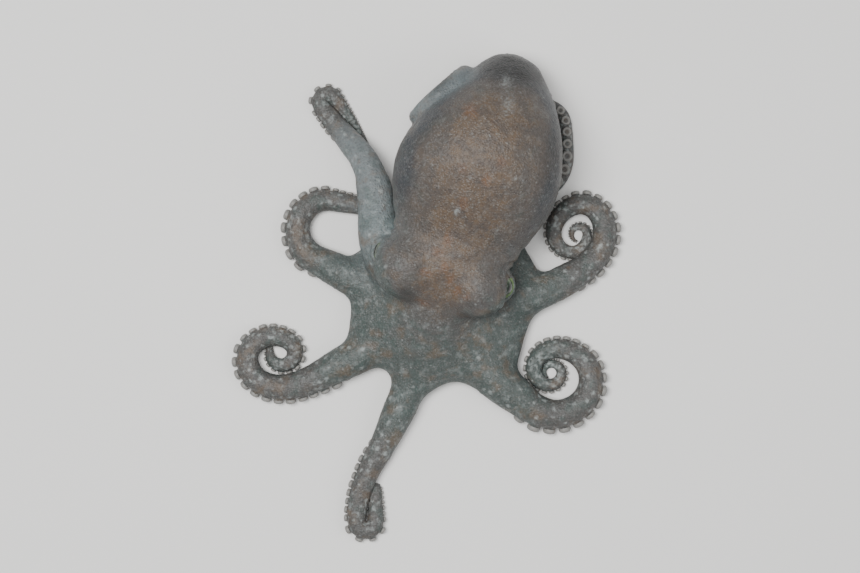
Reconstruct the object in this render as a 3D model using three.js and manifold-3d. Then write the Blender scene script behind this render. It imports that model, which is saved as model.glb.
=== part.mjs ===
// A curled octopus at rest on a flat floor, as a still model in life size.
//
// Millimetres, +Z up. +Y runs from the mouth end towards the mantle tip and +X to the animal's left.
// The model is laid out around the mouth and moved at the end, so that the origin is the bottom
// centre of the whole animal. Every arm grows from the crown round the mouth, lies on the floor on
// the flats of its suckers and is parted into a few lengths with thin cuts.

import * as THREE from "three";
import { mergeVertices } from "three/addons/utils/BufferGeometryUtils.js";
import Module from "manifold-3d";

const wasm = await Module();
wasm.setup();

// ---- driving dimensions -------------------------------------------------------------------------

const DEGREE = Math.PI / 180;
const UP = new THREE.Vector3(0, 0, 1);
const GAP = 0.3; // between neighbouring pieces
const BODY_BEARING = 74; // the mantle's direction from the mouth, in degrees from +X

// Head and mantle stations along the body axis, counted from the mouth:
// [along, half width, underside, top, drift of the middle to the animal's left].
const HEAD_STATIONS = [
  [-4, 5, 14, 22, 0],
  [0, 9, 12, 27, 0],
  [8, 15.5, 11, 35, 0],
  [20, 23, 10, 42, 0],
  [29, 25, 10, 44, 0],
  [37, 26.5, 12, 46, 0.5],
];
const MANTLE_STATIONS = [
  [37, 27, 12, 46, 0.5],
  [54, 32.6, 12, 56, 1],
  [68, 33, 10.5, 60, 1.6],
  [84, 28, 8, 57, 3],
  [97, 20.8, 3, 47, 4.5],
  [106, 15.2, 0.5, 37, 4],
  [112, 10.3, 2, 28, 4],
  [115.5, 5, 7, 20, 3.6],
];
const NECK = 37; // where the head ends and the mantle begins
const BODY_SIDES = 20;
const BODY_RINGS = 2; // rings to each stretch between two stations

const EYE = { along: 22, out: 23.6, height: 28, radius: 5.6 };
const EYE_DRIFT = -1.2; // the eyes sit a little to the animal's right of the body axis
// The mound that each eye sits in, the animal's left one first.
const MOUNDS = [
  { along: 18.5, aside: 15, height: 32, radius: 11.6 },
  { along: 19, aside: -16, height: 31.5, radius: 13 },
];
const BALL = { sides: 12, rings: 8 };

// Funnel: a blunt tube under the left side of the neck, with an open bore at its forward end.
const FUNNEL = {
  bearing: 104,
  start: 34,
  height: 7.5,
  length: 13,
  tip: 3.3,
  root: 4.5,
  shoulder: 3.2,
  close: 3,
  wall: 1.1,
  lip: 0.6,
  bore: 6,
  sides: 12,
};

// Crown: the web is drawn up between the arms, thick at the mouth and thin at its edge.
const WEB = {
  edge: 3.2,
  floor: 3.4,
  dome: 12,
  domeReach: 24,
  body: 9,
  sides: 36,
  rings: [0.15, 0.4, 0.65, 0.87, 1], // shares of the reach at which its rings stand
  tuck: 4, // how far short of an arm's first cut the web ends
  fall: 0.7, // how sharply its edge falls back from an arm into the bay
};

// Arms: the girth narrows as a power of the length that is left, and flares where the web joins.
const TIP_WIDTH = 0.9;
const WEB_FLARE = { width: 3, at: 36, reach: 17 };
const FLESH = 0.46; // half of the flesh, as a share of the arm's whole width
const ARM_HEIGHT = 0.92; // height over width
const ARM_SIDES = 8;
const SUCKER = { spacing: 0.34, reach: 0.1, smallest: 3.8, turnOut: 78 };
const ROOT = { start: 14, rings: 5 }; // where the root of an arm begins inside the crown
const FIRST_RING = 8;
const PLAIN_STEP = 3; // between sections where the suckers are too small to model
const CUT_MARGIN = 0.6; // nearest that a ring stands to a cut
const TIP_RINGS = 16; // rings kept near the tip in the clearance solid of a flat arm, coarser elsewhere
const WALK_STEP = 0.5;
const LAST_STEP = 1.001; // keeps a place on the last step just short of the tip
const FULL_TURN = 360;

// Each stretch of an arm is [length, turn in degrees, growth of the curvature over the stretch];
// a positive turn is anticlockwise from above. "outer" is the side that the suckers roll out to:
// 1 for the arm's left and -1 for its right, between the two lengths of "roll" and by "turnOut"
// degrees where that isn't the usual angle. "coil" is a last
// stretch that curls upright, "lift" is [start, up, down, end, height] where an arm crosses over its
// neighbour, and "bay" is the depth of the web, from the mouth, in the bay anticlockwise of the arm.
const ARMS = [
  {
    name: "arm_left_1",
    bearing: -43,
    girth: 18.4,
    taper: 0.65,
    outer: -1,
    roll: [30, 62],
    stretches: [[53, 4, 1], [47, 182, 1.7], [27, 149, 3], [31, 416, 2.9]],
    cuts: [45, 82, 107, 128],
    bay: 39,
  },
  {
    name: "arm_left_2",
    bearing: 13.5,
    girth: 18,
    taper: 0.68,
    outer: -1,
    roll: [40, 72],
    stretches: [[52.5, 6, 3.3], [20, 26, 1], [34, 157, 3], [27, 155, 2.5], [11, 88, 0.5], [15, 270, 1.1]],
    cuts: [54, 84, 108, 133],
    bay: 49,
  },
  {
    name: "arm_left_3",
    bearing: 41,
    girth: 13.2,
    taper: 0.56,
    outer: -1,
    roll: [40, 80],
    turnOut: 185,
    stretches: [[54, 13.4, 1], [24, -8, 1], [11, 40, 1], [14.5, 9, 1], [15, 115, 1.5], [26, 250, 2]],
    cuts: [54, 80, 104, 123],
    bay: 32,
  },
  {
    name: "arm_left_4",
    bearing: 85.5,
    girth: 13,
    taper: 0.45,
    outer: -1,
    roll: [78, 94],
    stretches: [[44, 4, 1], [35, 17, 1], [12, -66, 1]],
    coil: [98, 420, 2.1],
    cuts: [44, 88, 116, 146],
    bay: 28,
  },
  {
    name: "arm_right_4",
    bearing: 127,
    girth: 22.5,
    taper: 0.8,
    outer: 1,
    roll: [78, 96],
    lift: [14, 42, 64, 96, 10.3],
    stretches: [[19, 0, 1], [32, -34, 1], [14, 12, 1], [15, 26, 1], [23, -4, 1], [11, -181, 1], [25, -3, 1]],
    cuts: [40, 80, 108],
    bay: 42,
  },
  {
    name: "arm_right_3",
    bearing: 149,
    girth: 15.6,
    taper: 0.44,
    outer: 1,
    roll: [36, 62],
    stretches: [[54, 6, 1], [38, -167, 1.3], [12, 2, 1], [27, 330, 3]],
    cuts: [45, 72, 92, 110],
    bay: 33,
  },
  {
    name: "arm_right_2",
    bearing: 202.5,
    girth: 14.8,
    taper: 0.37,
    outer: 1,
    roll: [26, 52],
    stretches: [[47, 7, 1], [14, -10, 1], [34, -148, 3.5], [18, -89, 1], [24, -257, 1]],
    cuts: [42, 76, 98, 116],
    bay: 26.5,
  },
  {
    name: "arm_right_1",
    bearing: -106.5,
    girth: 13.2,
    taper: 0.3,
    outer: -1,
    roll: [40, 66],
    stretches: [[62, -13, 2], [28, 32, 3], [12.4, 178, 1], [15, -4, 1]],
    cuts: [40, 66, 88],
    bay: 25,
  },
];

const UNDER_BODY = ["arm_left_3", "arm_left_4", "arm_right_4", "arm_right_3"]; // these touch head or mantle

// ---- solids -------------------------------------------------------------------------------------

/** A closed geometry with merged corners, as a solid that can be joined and cut. */
function toSolid(geometry) {
  const plain = geometry.index ? geometry.toNonIndexed() : geometry.clone();
  plain.deleteAttribute("normal");
  plain.deleteAttribute("uv");
  const merged = mergeVertices(plain, 1e-4);
  const mesh = new wasm.Mesh({
    numProp: 3,
    vertProperties: new Float32Array(merged.attributes.position.array),
    triVerts: new Uint32Array(merged.index.array),
  });
  return new wasm.Manifold(mesh);
}

function toGeometry(solid) {
  const mesh = solid.getMesh();
  const geometry = new THREE.BufferGeometry();
  geometry.setAttribute("position", new THREE.BufferAttribute(mesh.vertProperties, 3));
  geometry.setIndex(new THREE.BufferAttribute(mesh.triVerts, 1));
  return geometry;
}

/** Joins rings of equal length into one closed skin, with a flat fan over each end. */
function loft(rings) {
  const sides = rings[0].length;
  const corners = rings.flat();
  const faces = [];
  for (let ring = 0; ring < rings.length - 1; ring += 1) {
    for (let side = 0; side < sides; side += 1) {
      const next = (side + 1) % sides;
      const a = ring * sides + side;
      const b = ring * sides + next;
      faces.push(a, b, b + sides, a, b + sides, a + sides);
    }
  }
  const last = (rings.length - 1) * sides;
  for (let side = 1; side < sides - 1; side += 1) {
    faces.push(0, side + 1, side);
    faces.push(last, last + side, last + side + 1);
  }
  const geometry = new THREE.BufferGeometry().setFromPoints(corners);
  geometry.setIndex(faces);
  return geometry;
}

/** Smooth step from 0 at low to 1 at high. */
function ease(low, high, value) {
  return THREE.MathUtils.smoothstep(value, low, high);
}

// ---- arms ---------------------------------------------------------------------------------------

function armLength(arm) {
  const coil = arm.coil ? arm.coil[0] : 0;
  return arm.stretches.reduce((sum, [length]) => sum + length, coil);
}

/** Whole width of an arm, suckers included, at a length from the mouth. */
function armWidth(arm, along) {
  const left = Math.max(0, 1 - along / armLength(arm));
  const flare = WEB_FLARE.width * Math.exp(-(((along - WEB_FLARE.at) / WEB_FLARE.reach) ** 2));
  return TIP_WIDTH + (arm.girth - TIP_WIDTH) * left ** arm.taper + flare;
}

/** How far an arm is raised off the floor to cross over its neighbour. */
function armLift(arm, along) {
  if (!arm.lift) return 0;
  const [start, up, down, end, height] = arm.lift;
  return height * ease(start, up, along) * (1 - ease(down, end, along));
}

/** Walks an arm's centre line: flat stretches first, then the upright coil if it has one. */
function walkArm(arm) {
  const forward = new THREE.Vector3(1, 0, 0).applyAxisAngle(UP, arm.bearing * DEGREE);
  const up = UP.clone();
  const position = new THREE.Vector3();
  const stations = [{ along: 0, position: position.clone(), forward: forward.clone(), up: up.clone() }];
  let along = 0;
  const walk = ([length, turn, growth], axis) => {
    const steps = Math.round(length / WALK_STEP);
    const weights = Array.from({ length: steps }, (_, step) => growth ** ((step + 0.5) / steps));
    const total = weights.reduce((sum, weight) => sum + weight, 0);
    for (const weight of weights) {
      const half = (turn * DEGREE * weight) / total / 2;
      forward.applyAxisAngle(axis, half);
      position.addScaledVector(forward, length / steps);
      forward.applyAxisAngle(axis, half);
      up.applyAxisAngle(axis, 2 * half);
      along += length / steps;
      stations.push({ along, position: position.clone(), forward: forward.clone(), up: up.clone() });
    }
  };
  for (const stretch of arm.stretches) walk(stretch, UP);
  if (arm.coil) walk(arm.coil, forward.clone().cross(UP));
  return stations;
}

/** The centre, side and up directions of an arm at any length along it, resting on the floor. */
function armFrame(arm, along) {
  const place = Math.min(along / WALK_STEP, arm.stations.length - LAST_STEP);
  const index = Math.floor(place);
  const here = arm.stations[index];
  const next = arm.stations[index + 1];
  const mix = place - index;
  const centre = here.position.clone().lerp(next.position, mix);
  const forward = here.forward.clone().lerp(next.forward, mix).normalize();
  const up = here.up.clone().lerp(next.up, mix).normalize();
  const coilStart = armLength(arm) - (arm.coil ? arm.coil[0] : 0);
  centre.z += armWidth(arm, Math.min(along, coilStart)) * FLESH * ARM_HEIGHT * ARM_HEIGHT;
  centre.z += armLift(arm, along);
  return { centre, side: up.clone().cross(forward), up };
}

/** One ring round an arm. A ring at a sucker stands out on the sucker side. */
function armRing(arm, along, isSucker, margin) {
  const { centre, side, up } = armFrame(arm, along);
  const width = armWidth(arm, along);
  const acrossRadius = width * FLESH + margin;
  const upRadius = width * FLESH * ARM_HEIGHT + margin;
  const rolled = (arm.turnOut ?? SUCKER.turnOut) * ease(arm.roll[0], arm.roll[1], along);
  const facing = (-90 + arm.outer * rolled) * DEGREE;
  const reach = isSucker ? SUCKER.reach * width : 0;
  return Array.from({ length: ARM_SIDES }, (_, index) => {
    const angle = facing + ((index + 0.5) * 2 * Math.PI) / ARM_SIDES;
    const corner = centre.clone();
    corner.addScaledVector(side, Math.cos(angle) * acrossRadius);
    corner.addScaledVector(up, Math.sin(angle) * upRadius);
    if (index === 0 || index === ARM_SIDES - 1) {
      corner.addScaledVector(side, Math.cos(facing) * reach);
      corner.addScaledVector(up, Math.sin(facing) * reach);
    }
    corner.z = Math.max(corner.z, -margin);
    return corner;
  });
}

/** Where the rings of an arm stand: two to each sucker, then plain steps near the tip. */
function armStops(arm) {
  const stops = [];
  const length = armLength(arm);
  let along = FIRST_RING;
  while (along < length - PLAIN_STEP / 2) {
    const spacing = SUCKER.spacing * armWidth(arm, along);
    if (spacing > SUCKER.smallest) {
      stops.push({ along, isSucker: false }, { along: along + spacing / 2, isSucker: true });
      along += spacing;
    } else {
      stops.push({ along, isSucker: false });
      along += PLAIN_STEP;
    }
  }
  stops.push({ along: length, isSucker: false });
  return stops;
}

/** The solid of an arm between two lengths. A margin makes the slightly larger one used for clearance. */
function armSolid(arm, from, to, margin = 0) {
  const isClear = ({ along }) => along > from + CUT_MARGIN && along < to - CUT_MARGIN;
  const between = armStops(arm).filter(isClear);
  const firstKept = arm.coil ? 0 : between.length - TIP_RINGS;
  const needed = ({ isSucker }, index) => margin === 0 || isSucker || index > firstKept;
  const inside = between.filter(needed);
  const stops = [{ along: from, isSucker: false }, ...inside, { along: to, isSucker: false }];
  const rings = stops.map(({ along, isSucker }) => armRing(arm, along, isSucker || margin > 0, margin));
  return toSolid(loft(rings));
}

/** The root of an arm inside the crown. */
function armRoot(arm) {
  const rings = Array.from({ length: ROOT.rings }, (_, index) => {
    const along = THREE.MathUtils.lerp(ROOT.start, arm.cuts[0], index / (ROOT.rings - 1));
    return armRing(arm, along, false, 0);
  });
  return toSolid(loft(rings));
}

// ---- crown --------------------------------------------------------------------------------------

/** How far the web reaches from the mouth in a direction: long on an arm, short in the bay between. */
function webReach(bearing) {
  const past = (arm) => THREE.MathUtils.euclideanModulo(bearing - arm.bearing, FULL_TURN);
  const before = ARMS.reduce((best, arm) => (past(arm) < past(best) ? arm : best));
  const after = ARMS.reduce((best, arm) => (past(arm) > past(best) ? arm : best));
  const share = past(before) / (past(before) + FULL_TURN - past(after));
  const ends = THREE.MathUtils.lerp(before.cuts[0], after.cuts[0], share) - WEB.tuck;
  return ends + (before.bay - ends) * Math.sin(Math.PI * share) ** WEB.fall;
}

function webSolid() {
  const ring = (share, heightAt) =>
    Array.from({ length: WEB.sides }, (_, index) => {
      const bearing = (index * FULL_TURN) / WEB.sides;
      const radius = share * webReach(bearing);
      const height = heightAt(radius, share);
      return new THREE.Vector3(radius, 0, height).applyAxisAngle(UP, bearing * DEGREE);
    });
  const top = (radius, share) => {
    const dome = WEB.dome * Math.exp(-((radius / WEB.domeReach) ** 2));
    return WEB.floor + WEB.edge + (WEB.body - WEB.edge) * Math.sqrt(1 - share ** 2) + dome;
  };
  const underside = WEB.rings.map((share) => ring(share, () => WEB.floor));
  const upperside = [...WEB.rings].reverse().map((share) => ring(share, top));
  return toSolid(loft([...underside, ...upperside]));
}

// ---- head, mantle, eyes and funnel --------------------------------------------------------------

/** A point of the body, from its length along the axis, its place aside (to the animal's left) and height. */
function bodyPoint(along, aside, height) {
  const axis = BODY_BEARING * DEGREE;
  const x = along * Math.cos(axis) + aside * Math.sin(axis);
  const y = along * Math.sin(axis) - aside * Math.cos(axis);
  return new THREE.Vector3(x, y, height);
}

/** A smooth body through its stations, with oval sections, grown by a margin for clearance. */
function bodySolid(stations, margin = 0) {
  const count = (stations.length - 1) * BODY_RINGS;
  const rings = Array.from({ length: count + 1 }, (_, index) => {
    const [along, halfWidth, low, high, drift] = stations[0].map((_, column) => {
      const places = stations.map((station) => new THREE.Vector2(station[column], 0));
      return new THREE.SplineCurve(places).getPoint(index / count).x;
    });
    const middle = (low + high) / 2;
    const halfHeight = (high - low) / 2 + margin;
    return Array.from({ length: BODY_SIDES }, (_, side) => {
      const angle = (side * 2 * Math.PI) / BODY_SIDES;
      const aside = drift - (halfWidth + margin) * Math.cos(angle);
      const height = middle + halfHeight * Math.sin(angle);
      return bodyPoint(along, aside, Math.max(height, -margin));
    });
  });
  return toSolid(loft(rings));
}

function ball(radius, centre) {
  const geometry = new THREE.SphereGeometry(radius, BALL.sides, BALL.rings);
  geometry.rotateX(Math.PI / 2);
  geometry.translate(centre.x, centre.y, centre.z);
  return toSolid(geometry);
}

/** The funnel, turned about its own axis. A margin makes the plain one used for clearance. */
function funnelSolid(margin = 0) {
  const { bearing, start, height, length, tip, root, shoulder, close, wall, lip, bore, sides } = FUNNEL;
  const outside = [
    [tip + margin, -margin],
    [root + margin, length],
    [shoulder + margin, length + close + margin],
    [0, length + close + margin],
  ];
  const hollow = [
    [0, bore],
    [tip - wall, lip],
    [tip - wall, 0],
  ];
  const inside = margin ? [[0, -margin]] : hollow;
  const profile = [...inside, ...outside].map(([radius, along]) => new THREE.Vector2(radius, start + along));
  const geometry = new THREE.LatheGeometry(profile, sides);
  geometry.rotateZ((bearing - FULL_TURN / 4) * DEGREE);
  geometry.translate(0, 0, height);
  return toSolid(geometry);
}

// ---- assembly -----------------------------------------------------------------------------------

for (const arm of ARMS) arm.stations = walkArm(arm);

const material = (color, roughness) => new THREE.MeshStandardMaterial({ color, roughness, metalness: 0 });
const group = new THREE.Group();

function addPiece(name, solid, color, roughness = 0.5) {
  const mesh = new THREE.Mesh(toGeometry(solid), material(color, roughness));
  mesh.name = name;
  group.add(mesh);
}

const eyeCentres = [1, -1].map((side) => bodyPoint(EYE.along, side * EYE.out + EYE_DRIFT, EYE.height));

function headSolid(margin = 0) {
  const mounds = MOUNDS.map(({ along, aside, height, radius }) =>
    ball(radius + margin, bodyPoint(along, aside, height)),
  );
  return mounds.reduce((whole, mound) => whole.add(mound), bodySolid(HEAD_STATIONS, margin));
}

function cutAway(solid, tools) {
  return tools.reduce((rest, tool) => rest.subtract(tool), solid);
}

const sockets = eyeCentres.map((centre) => ball(EYE.radius + GAP, centre));
const armsBeneath = ARMS.filter(({ name }) => UNDER_BODY.includes(name));
const clearances = [
  ...sockets,
  funnelSolid(GAP),
  ...armsBeneath.map((arm) => armSolid(arm, arm.cuts[0], armLength(arm), GAP)),
];
const mantleStations = MANTLE_STATIONS.map(([along, ...rest]) => [Math.max(along, NECK + GAP), ...rest]);
const web = ARMS.map(armRoot).reduce((whole, root) => whole.add(root), webSolid());
const bodyAbove = [headSolid(GAP), bodySolid(MANTLE_STATIONS, GAP), ...sockets, funnelSolid(GAP)];

addPiece("mantle", cutAway(bodySolid(mantleStations), clearances), "#8d857b");
addPiece("head", cutAway(headSolid(), clearances), "#8a8178");
addPiece("eye_left", ball(EYE.radius, eyeCentres[0]), "#2d332c", 0.15);
addPiece("eye_right", ball(EYE.radius, eyeCentres[1]), "#2d332c", 0.15);
addPiece("funnel", funnelSolid(), "#a09a92");
addPiece("crown", cutAway(web, bodyAbove), "#7d7f7a");
for (const arm of ARMS) {
  const ends = [...arm.cuts, armLength(arm)];
  for (let index = 0; index < ends.length - 1; index += 1) {
    const solid = armSolid(arm, ends[index] + GAP, ends[index + 1]);
    addPiece(`${arm.name}_part_${index + 1}`, solid, "#86857f");
  }
}

// The origin is the bottom centre of the whole animal.
const middle = new THREE.Box3().setFromObject(group).getCenter(new THREE.Vector3());
group.position.set(-middle.x, -middle.y, 0);
group.updateMatrixWorld(true);

export default group;
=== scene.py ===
"""A curled octopus at rest on a pale floor, dressed over its solid model.

The solid model gives the frame: where the eyes stand and how large the whole animal is. One skin is
drawn round the flesh as a surface of equal distance on a fine grid, and the suckers, the eyes and
the floor are separate pieces. Lengths are in millimetres from the middle of the mouth, and become
metres in the model's own frame when a mesh is made.
"""

from __future__ import annotations

import logging
import math
from dataclasses import dataclass, field
from enum import Enum
from typing import ClassVar, Sequence

import bpy
import numpy as np
import openvdb
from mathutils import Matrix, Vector, kdtree, noise


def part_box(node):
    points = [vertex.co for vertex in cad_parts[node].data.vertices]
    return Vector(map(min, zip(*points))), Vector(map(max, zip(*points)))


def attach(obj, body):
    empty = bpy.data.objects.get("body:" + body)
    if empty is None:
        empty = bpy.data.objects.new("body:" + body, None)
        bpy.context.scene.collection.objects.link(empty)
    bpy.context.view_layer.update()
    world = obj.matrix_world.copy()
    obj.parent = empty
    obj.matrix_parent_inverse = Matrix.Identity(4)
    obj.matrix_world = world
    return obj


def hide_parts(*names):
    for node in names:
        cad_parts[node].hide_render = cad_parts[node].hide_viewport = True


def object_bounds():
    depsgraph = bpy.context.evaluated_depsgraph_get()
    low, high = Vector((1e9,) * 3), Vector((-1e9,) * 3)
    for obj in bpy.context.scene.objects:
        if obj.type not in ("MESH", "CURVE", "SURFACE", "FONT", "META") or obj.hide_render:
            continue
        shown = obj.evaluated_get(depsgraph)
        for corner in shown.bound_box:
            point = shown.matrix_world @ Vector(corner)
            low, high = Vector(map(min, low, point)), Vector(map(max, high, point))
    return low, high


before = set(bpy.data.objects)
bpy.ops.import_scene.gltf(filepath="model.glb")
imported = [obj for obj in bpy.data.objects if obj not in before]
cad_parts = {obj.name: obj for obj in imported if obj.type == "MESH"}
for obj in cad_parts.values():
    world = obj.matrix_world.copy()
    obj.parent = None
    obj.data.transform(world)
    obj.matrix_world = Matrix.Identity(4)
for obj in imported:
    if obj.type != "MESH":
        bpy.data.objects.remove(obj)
CAD_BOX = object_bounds()

LOG = logging.getLogger("octopus")
MM = 0.001
UP = np.array([0.0, 0.0, 1.0])
EAST = np.array([1.0, 0.0, 0.0])
BAND = 3.0  # how far from the skin the grid keeps true distances
WIDE = 13.0  # the same where broad creases are rounded
LEAST_ARM = 1.3  # width of the thinnest arm that still carries a sucker

Values = float | np.ndarray
Pair = tuple[float, float]
Table = tuple[tuple[float, ...], ...]


# ---- plain mathematics --------------------------------------------------------------------------


def ease(low: float, high: float, value: Values) -> Values:
    """Smooth step from 0 at low to 1 at high."""
    share = np.clip((value - low) / (high - low), 0.0, 1.0)
    return share * share * (3.0 - 2.0 * share)


def blend_min(a: np.ndarray, b: np.ndarray, reach: Values) -> np.ndarray:
    """Joins two fields of distances with a rounded crease, reach millimetres wide."""
    share = np.clip(0.5 + 0.5 * (b - a) / reach, 0.0, 1.0)
    return b + (a - b) * share - reach * share * (1.0 - share)


def blend_max(a: np.ndarray, b: np.ndarray, reach: Values) -> np.ndarray:
    """Keeps what two fields of distances share, with a rounded edge."""
    return -blend_min(-a, -b, reach)


def unit(vectors: np.ndarray) -> np.ndarray:
    """Vectors brought to length 1."""
    return vectors / np.maximum(np.linalg.norm(vectors, axis=-1, keepdims=True), 1e-9)


def turned(vector: np.ndarray, axis: np.ndarray, angle: float) -> np.ndarray:
    """A vector turned about an axis.

    Args:
        vector: What is turned.
        axis: The unit vector that it turns about.
        angle: The angle, in radians.

    Returns:
        The turned vector.
    """
    across = np.cross(axis, vector)
    along = axis * (axis @ vector)
    return vector * math.cos(angle) + across * math.sin(angle) + along * (1 - math.cos(angle))


def dot(parts: Sequence[Values], others: Sequence[Values]) -> Values:
    """The sum of the products of matching parts, such as x, y and z."""
    return sum(part * other for part, other in zip(parts, others))


def beside(places: Sequence[np.ndarray], start: np.ndarray,
           end: np.ndarray) -> tuple[np.ndarray, list[np.ndarray]]:
    """Where places lie beside a straight piece of a line.

    Args:
        places: The coordinates of the places, one array for each axis.
        start: Where the piece starts.
        end: Where it ends.

    Returns:
        The share of the piece at the foot of each place, and the offsets from that foot.
    """
    step = end - start
    off = [place - first for place, first in zip(places, start)]
    share = np.clip(dot(off, step) / (step @ step), 0.0, 1.0)
    return share, [part - share * run for part, run in zip(off, step)]


# ---- arms ---------------------------------------------------------------------------------------


class Outer(Enum):
    """The side that an arm's suckers roll out to."""

    LEFT = 1
    RIGHT = -1


@dataclass(frozen=True)
class Stretch:
    """A length of an arm that turns by an angle, with a curvature that grows by a factor."""

    length: float
    turn: float
    growth: float = 1.0


@dataclass
class Line:
    """Places along an arm, each with its direction ahead and the arm's own upward direction."""

    along: np.ndarray
    place: np.ndarray
    ahead: np.ndarray
    up: np.ndarray

    @property
    def side(self) -> np.ndarray:
        """The directions to the arm's left."""
        return unit(np.cross(self.up, self.ahead))

    def at(self, along: np.ndarray) -> Line:
        """The line at other lengths.

        Args:
            along: Lengths from the mouth, in millimetres.

        Returns:
            A line with one place for each length.
        """
        columns = [
            np.stack([np.interp(along, self.along, part[:, axis]) for axis in range(3)], axis=1)
            for part in (self.place, self.ahead, self.up)
        ]
        return Line(np.asarray(along, float), columns[0], unit(columns[1]), unit(columns[2]))


@dataclass
class Arm:
    """One arm, from the mouth to its tip, with its row of suckers."""

    name: str
    bearing: float
    girth: float
    taper: float
    outer: Outer
    roll: Pair
    stretches: list[Stretch]
    bay: float
    web_end: float
    coil: Stretch | None = None
    lift: tuple[float, float, float, float, float] | None = None

    tip_width: float = 0.9
    flare: float = 3.0
    flare_at: float = 36.0
    flare_reach: float = 17.0
    flesh: float = 0.46
    height: float = 0.92
    turn_out: float = 78.0
    spacing: float = 0.34
    first_sucker: float = 8.0
    crowding: float = 0.43
    least_rim: float = 0.13
    most_rim: float = 0.2
    mouth_rim: float = 0.36
    bold: float = 1.0
    low_depth: float = 0.25
    rolled_depth: float = 0.17
    step: float = 0.5
    line: Line = field(init=False)

    def __post_init__(self) -> None:
        """Walks the centre line once."""
        self.line = self._walk()

    @property
    def length(self) -> float:
        """The arm's whole length from the mouth."""
        return self.coil_start + (self.coil.length if self.coil else 0.0)

    @property
    def coil_start(self) -> float:
        """Where the upright coil begins, or the tip if there is none."""
        return sum(stretch.length for stretch in self.stretches)

    def width(self, along: Values) -> Values:
        """Whole width of the arm, suckers included.

        Args:
            along: Lengths from the mouth.

        Returns:
            The width at each length.
        """
        left = np.clip(1.0 - np.asarray(along, float) / self.length, 0.0, 1.0)
        flare = self.flare * np.exp(-(((along - self.flare_at) / self.flare_reach) ** 2))
        return self.tip_width + (self.girth - self.tip_width) * left**self.taper + flare

    def raised(self, along: np.ndarray) -> np.ndarray:
        """How far the arm is raised off the floor to cross over its neighbour.

        Args:
            along: Lengths from the mouth.

        Returns:
            The height at each length.
        """
        if self.lift is None:
            return np.zeros_like(along)
        start, up, down, end, height = self.lift
        return height * ease(start, up, along) * (1.0 - ease(down, end, along))

    def rolled(self, along: Values) -> Values:
        """0 where the suckers face the floor, 1 where they face outwards."""
        return ease(self.roll[0], self.roll[1], along)

    def boldness(self, along: Values) -> Values:
        """How much larger than usual the suckers are where the arm is rolled."""
        return 1.0 + (self.bold - 1.0) * self.rolled(along)

    def oral_depth(self, along: Values) -> Values:
        """How far the sucker side lies from the centre, as a share of the width."""
        curled = self.rolled(along) + ease(self.coil_start - 4, self.coil_start + 6, along)
        return self.low_depth + self.rolled_depth * np.clip(curled, 0.0, 1.0)

    def facing(self, line: Line) -> np.ndarray:
        """The direction that the suckers face at each place of a line on this arm."""
        angle = np.radians(-90.0 + self.outer.value * self.turn_out * self.rolled(line.along))
        return np.cos(angle)[:, None] * line.side + np.sin(angle)[:, None] * line.up

    def sucker_places(self, smallest: float) -> np.ndarray:
        """Where the suckers stand, a fixed share of the width apart.

        Args:
            smallest: The least width of arm that still carries one.

        Returns:
            Lengths from the mouth.
        """
        places = []
        along = self.first_sucker
        while along < self.length and self.width(along) > smallest:
            gap = self.spacing * float(self.width(along) * self.boldness(along))
            places.append(along + gap / 2)
            along += gap
        return np.array(places)

    def seats(self, smallest: float = LEAST_ARM) -> tuple[Line, np.ndarray, np.ndarray]:
        """The suckers' places, the middles of their bases and the radii of their rims.

        Args:
            smallest: The least width of arm that still carries one.

        Returns:
            The centre line beside the suckers, the bases and the radii.
        """
        line = self.line.at(self.sucker_places(smallest))
        width = self.width(line.along)
        base = line.place + self.facing(line) * (self.oral_depth(line.along) * width)[:, None]
        gaps = np.linalg.norm(np.diff(base, axis=0), axis=1)
        room = np.minimum(np.append(gaps, gaps[-1]), np.insert(gaps, 0, gaps[0]))
        most = self.most_rim * width * self.boldness(line.along)
        rim = np.clip(self.crowding * room, self.least_rim * width, most)
        return line, base, np.minimum(rim, self.mouth_rim * line.along)

    def _walk(self) -> Line:
        """Follows the stretches and then the upright coil, in short steps.

        Returns:
            The arm's centre line.
        """
        ahead = turned(EAST, UP, math.radians(self.bearing))
        up = UP.copy()
        place = np.zeros(3)
        rows = [(0.0, place, ahead, up)]
        walks = [(stretch, UP) for stretch in self.stretches]
        for stretch, axis in walks + ([(self.coil, None)] if self.coil else []):
            turning = np.cross(ahead, UP) if axis is None else axis
            steps = round(stretch.length / self.step)
            weights = stretch.growth ** ((np.arange(steps) + 0.5) / steps)
            for angle in np.radians(stretch.turn) * weights / weights.sum():
                ahead = turned(ahead, turning, angle / 2)
                place = place + ahead * stretch.length / steps
                ahead = turned(ahead, turning, angle / 2)
                up = turned(up, turning, angle)
                rows.append((rows[-1][0] + stretch.length / steps, place, ahead, up))
        along, places, aheads, ups = (np.array(column) for column in zip(*rows))
        base = self.width(np.minimum(along, self.coil_start))
        places[:, 2] += base * self.flesh * self.height**2 + self.raised(along)
        return Line(along, places, aheads, ups)


def path(*stretches: tuple[float, ...]) -> list[Stretch]:
    """Stretches in a row, each given by its length, its turn and, if not 1, its growth."""
    return [Stretch(*numbers) for numbers in stretches]


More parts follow.
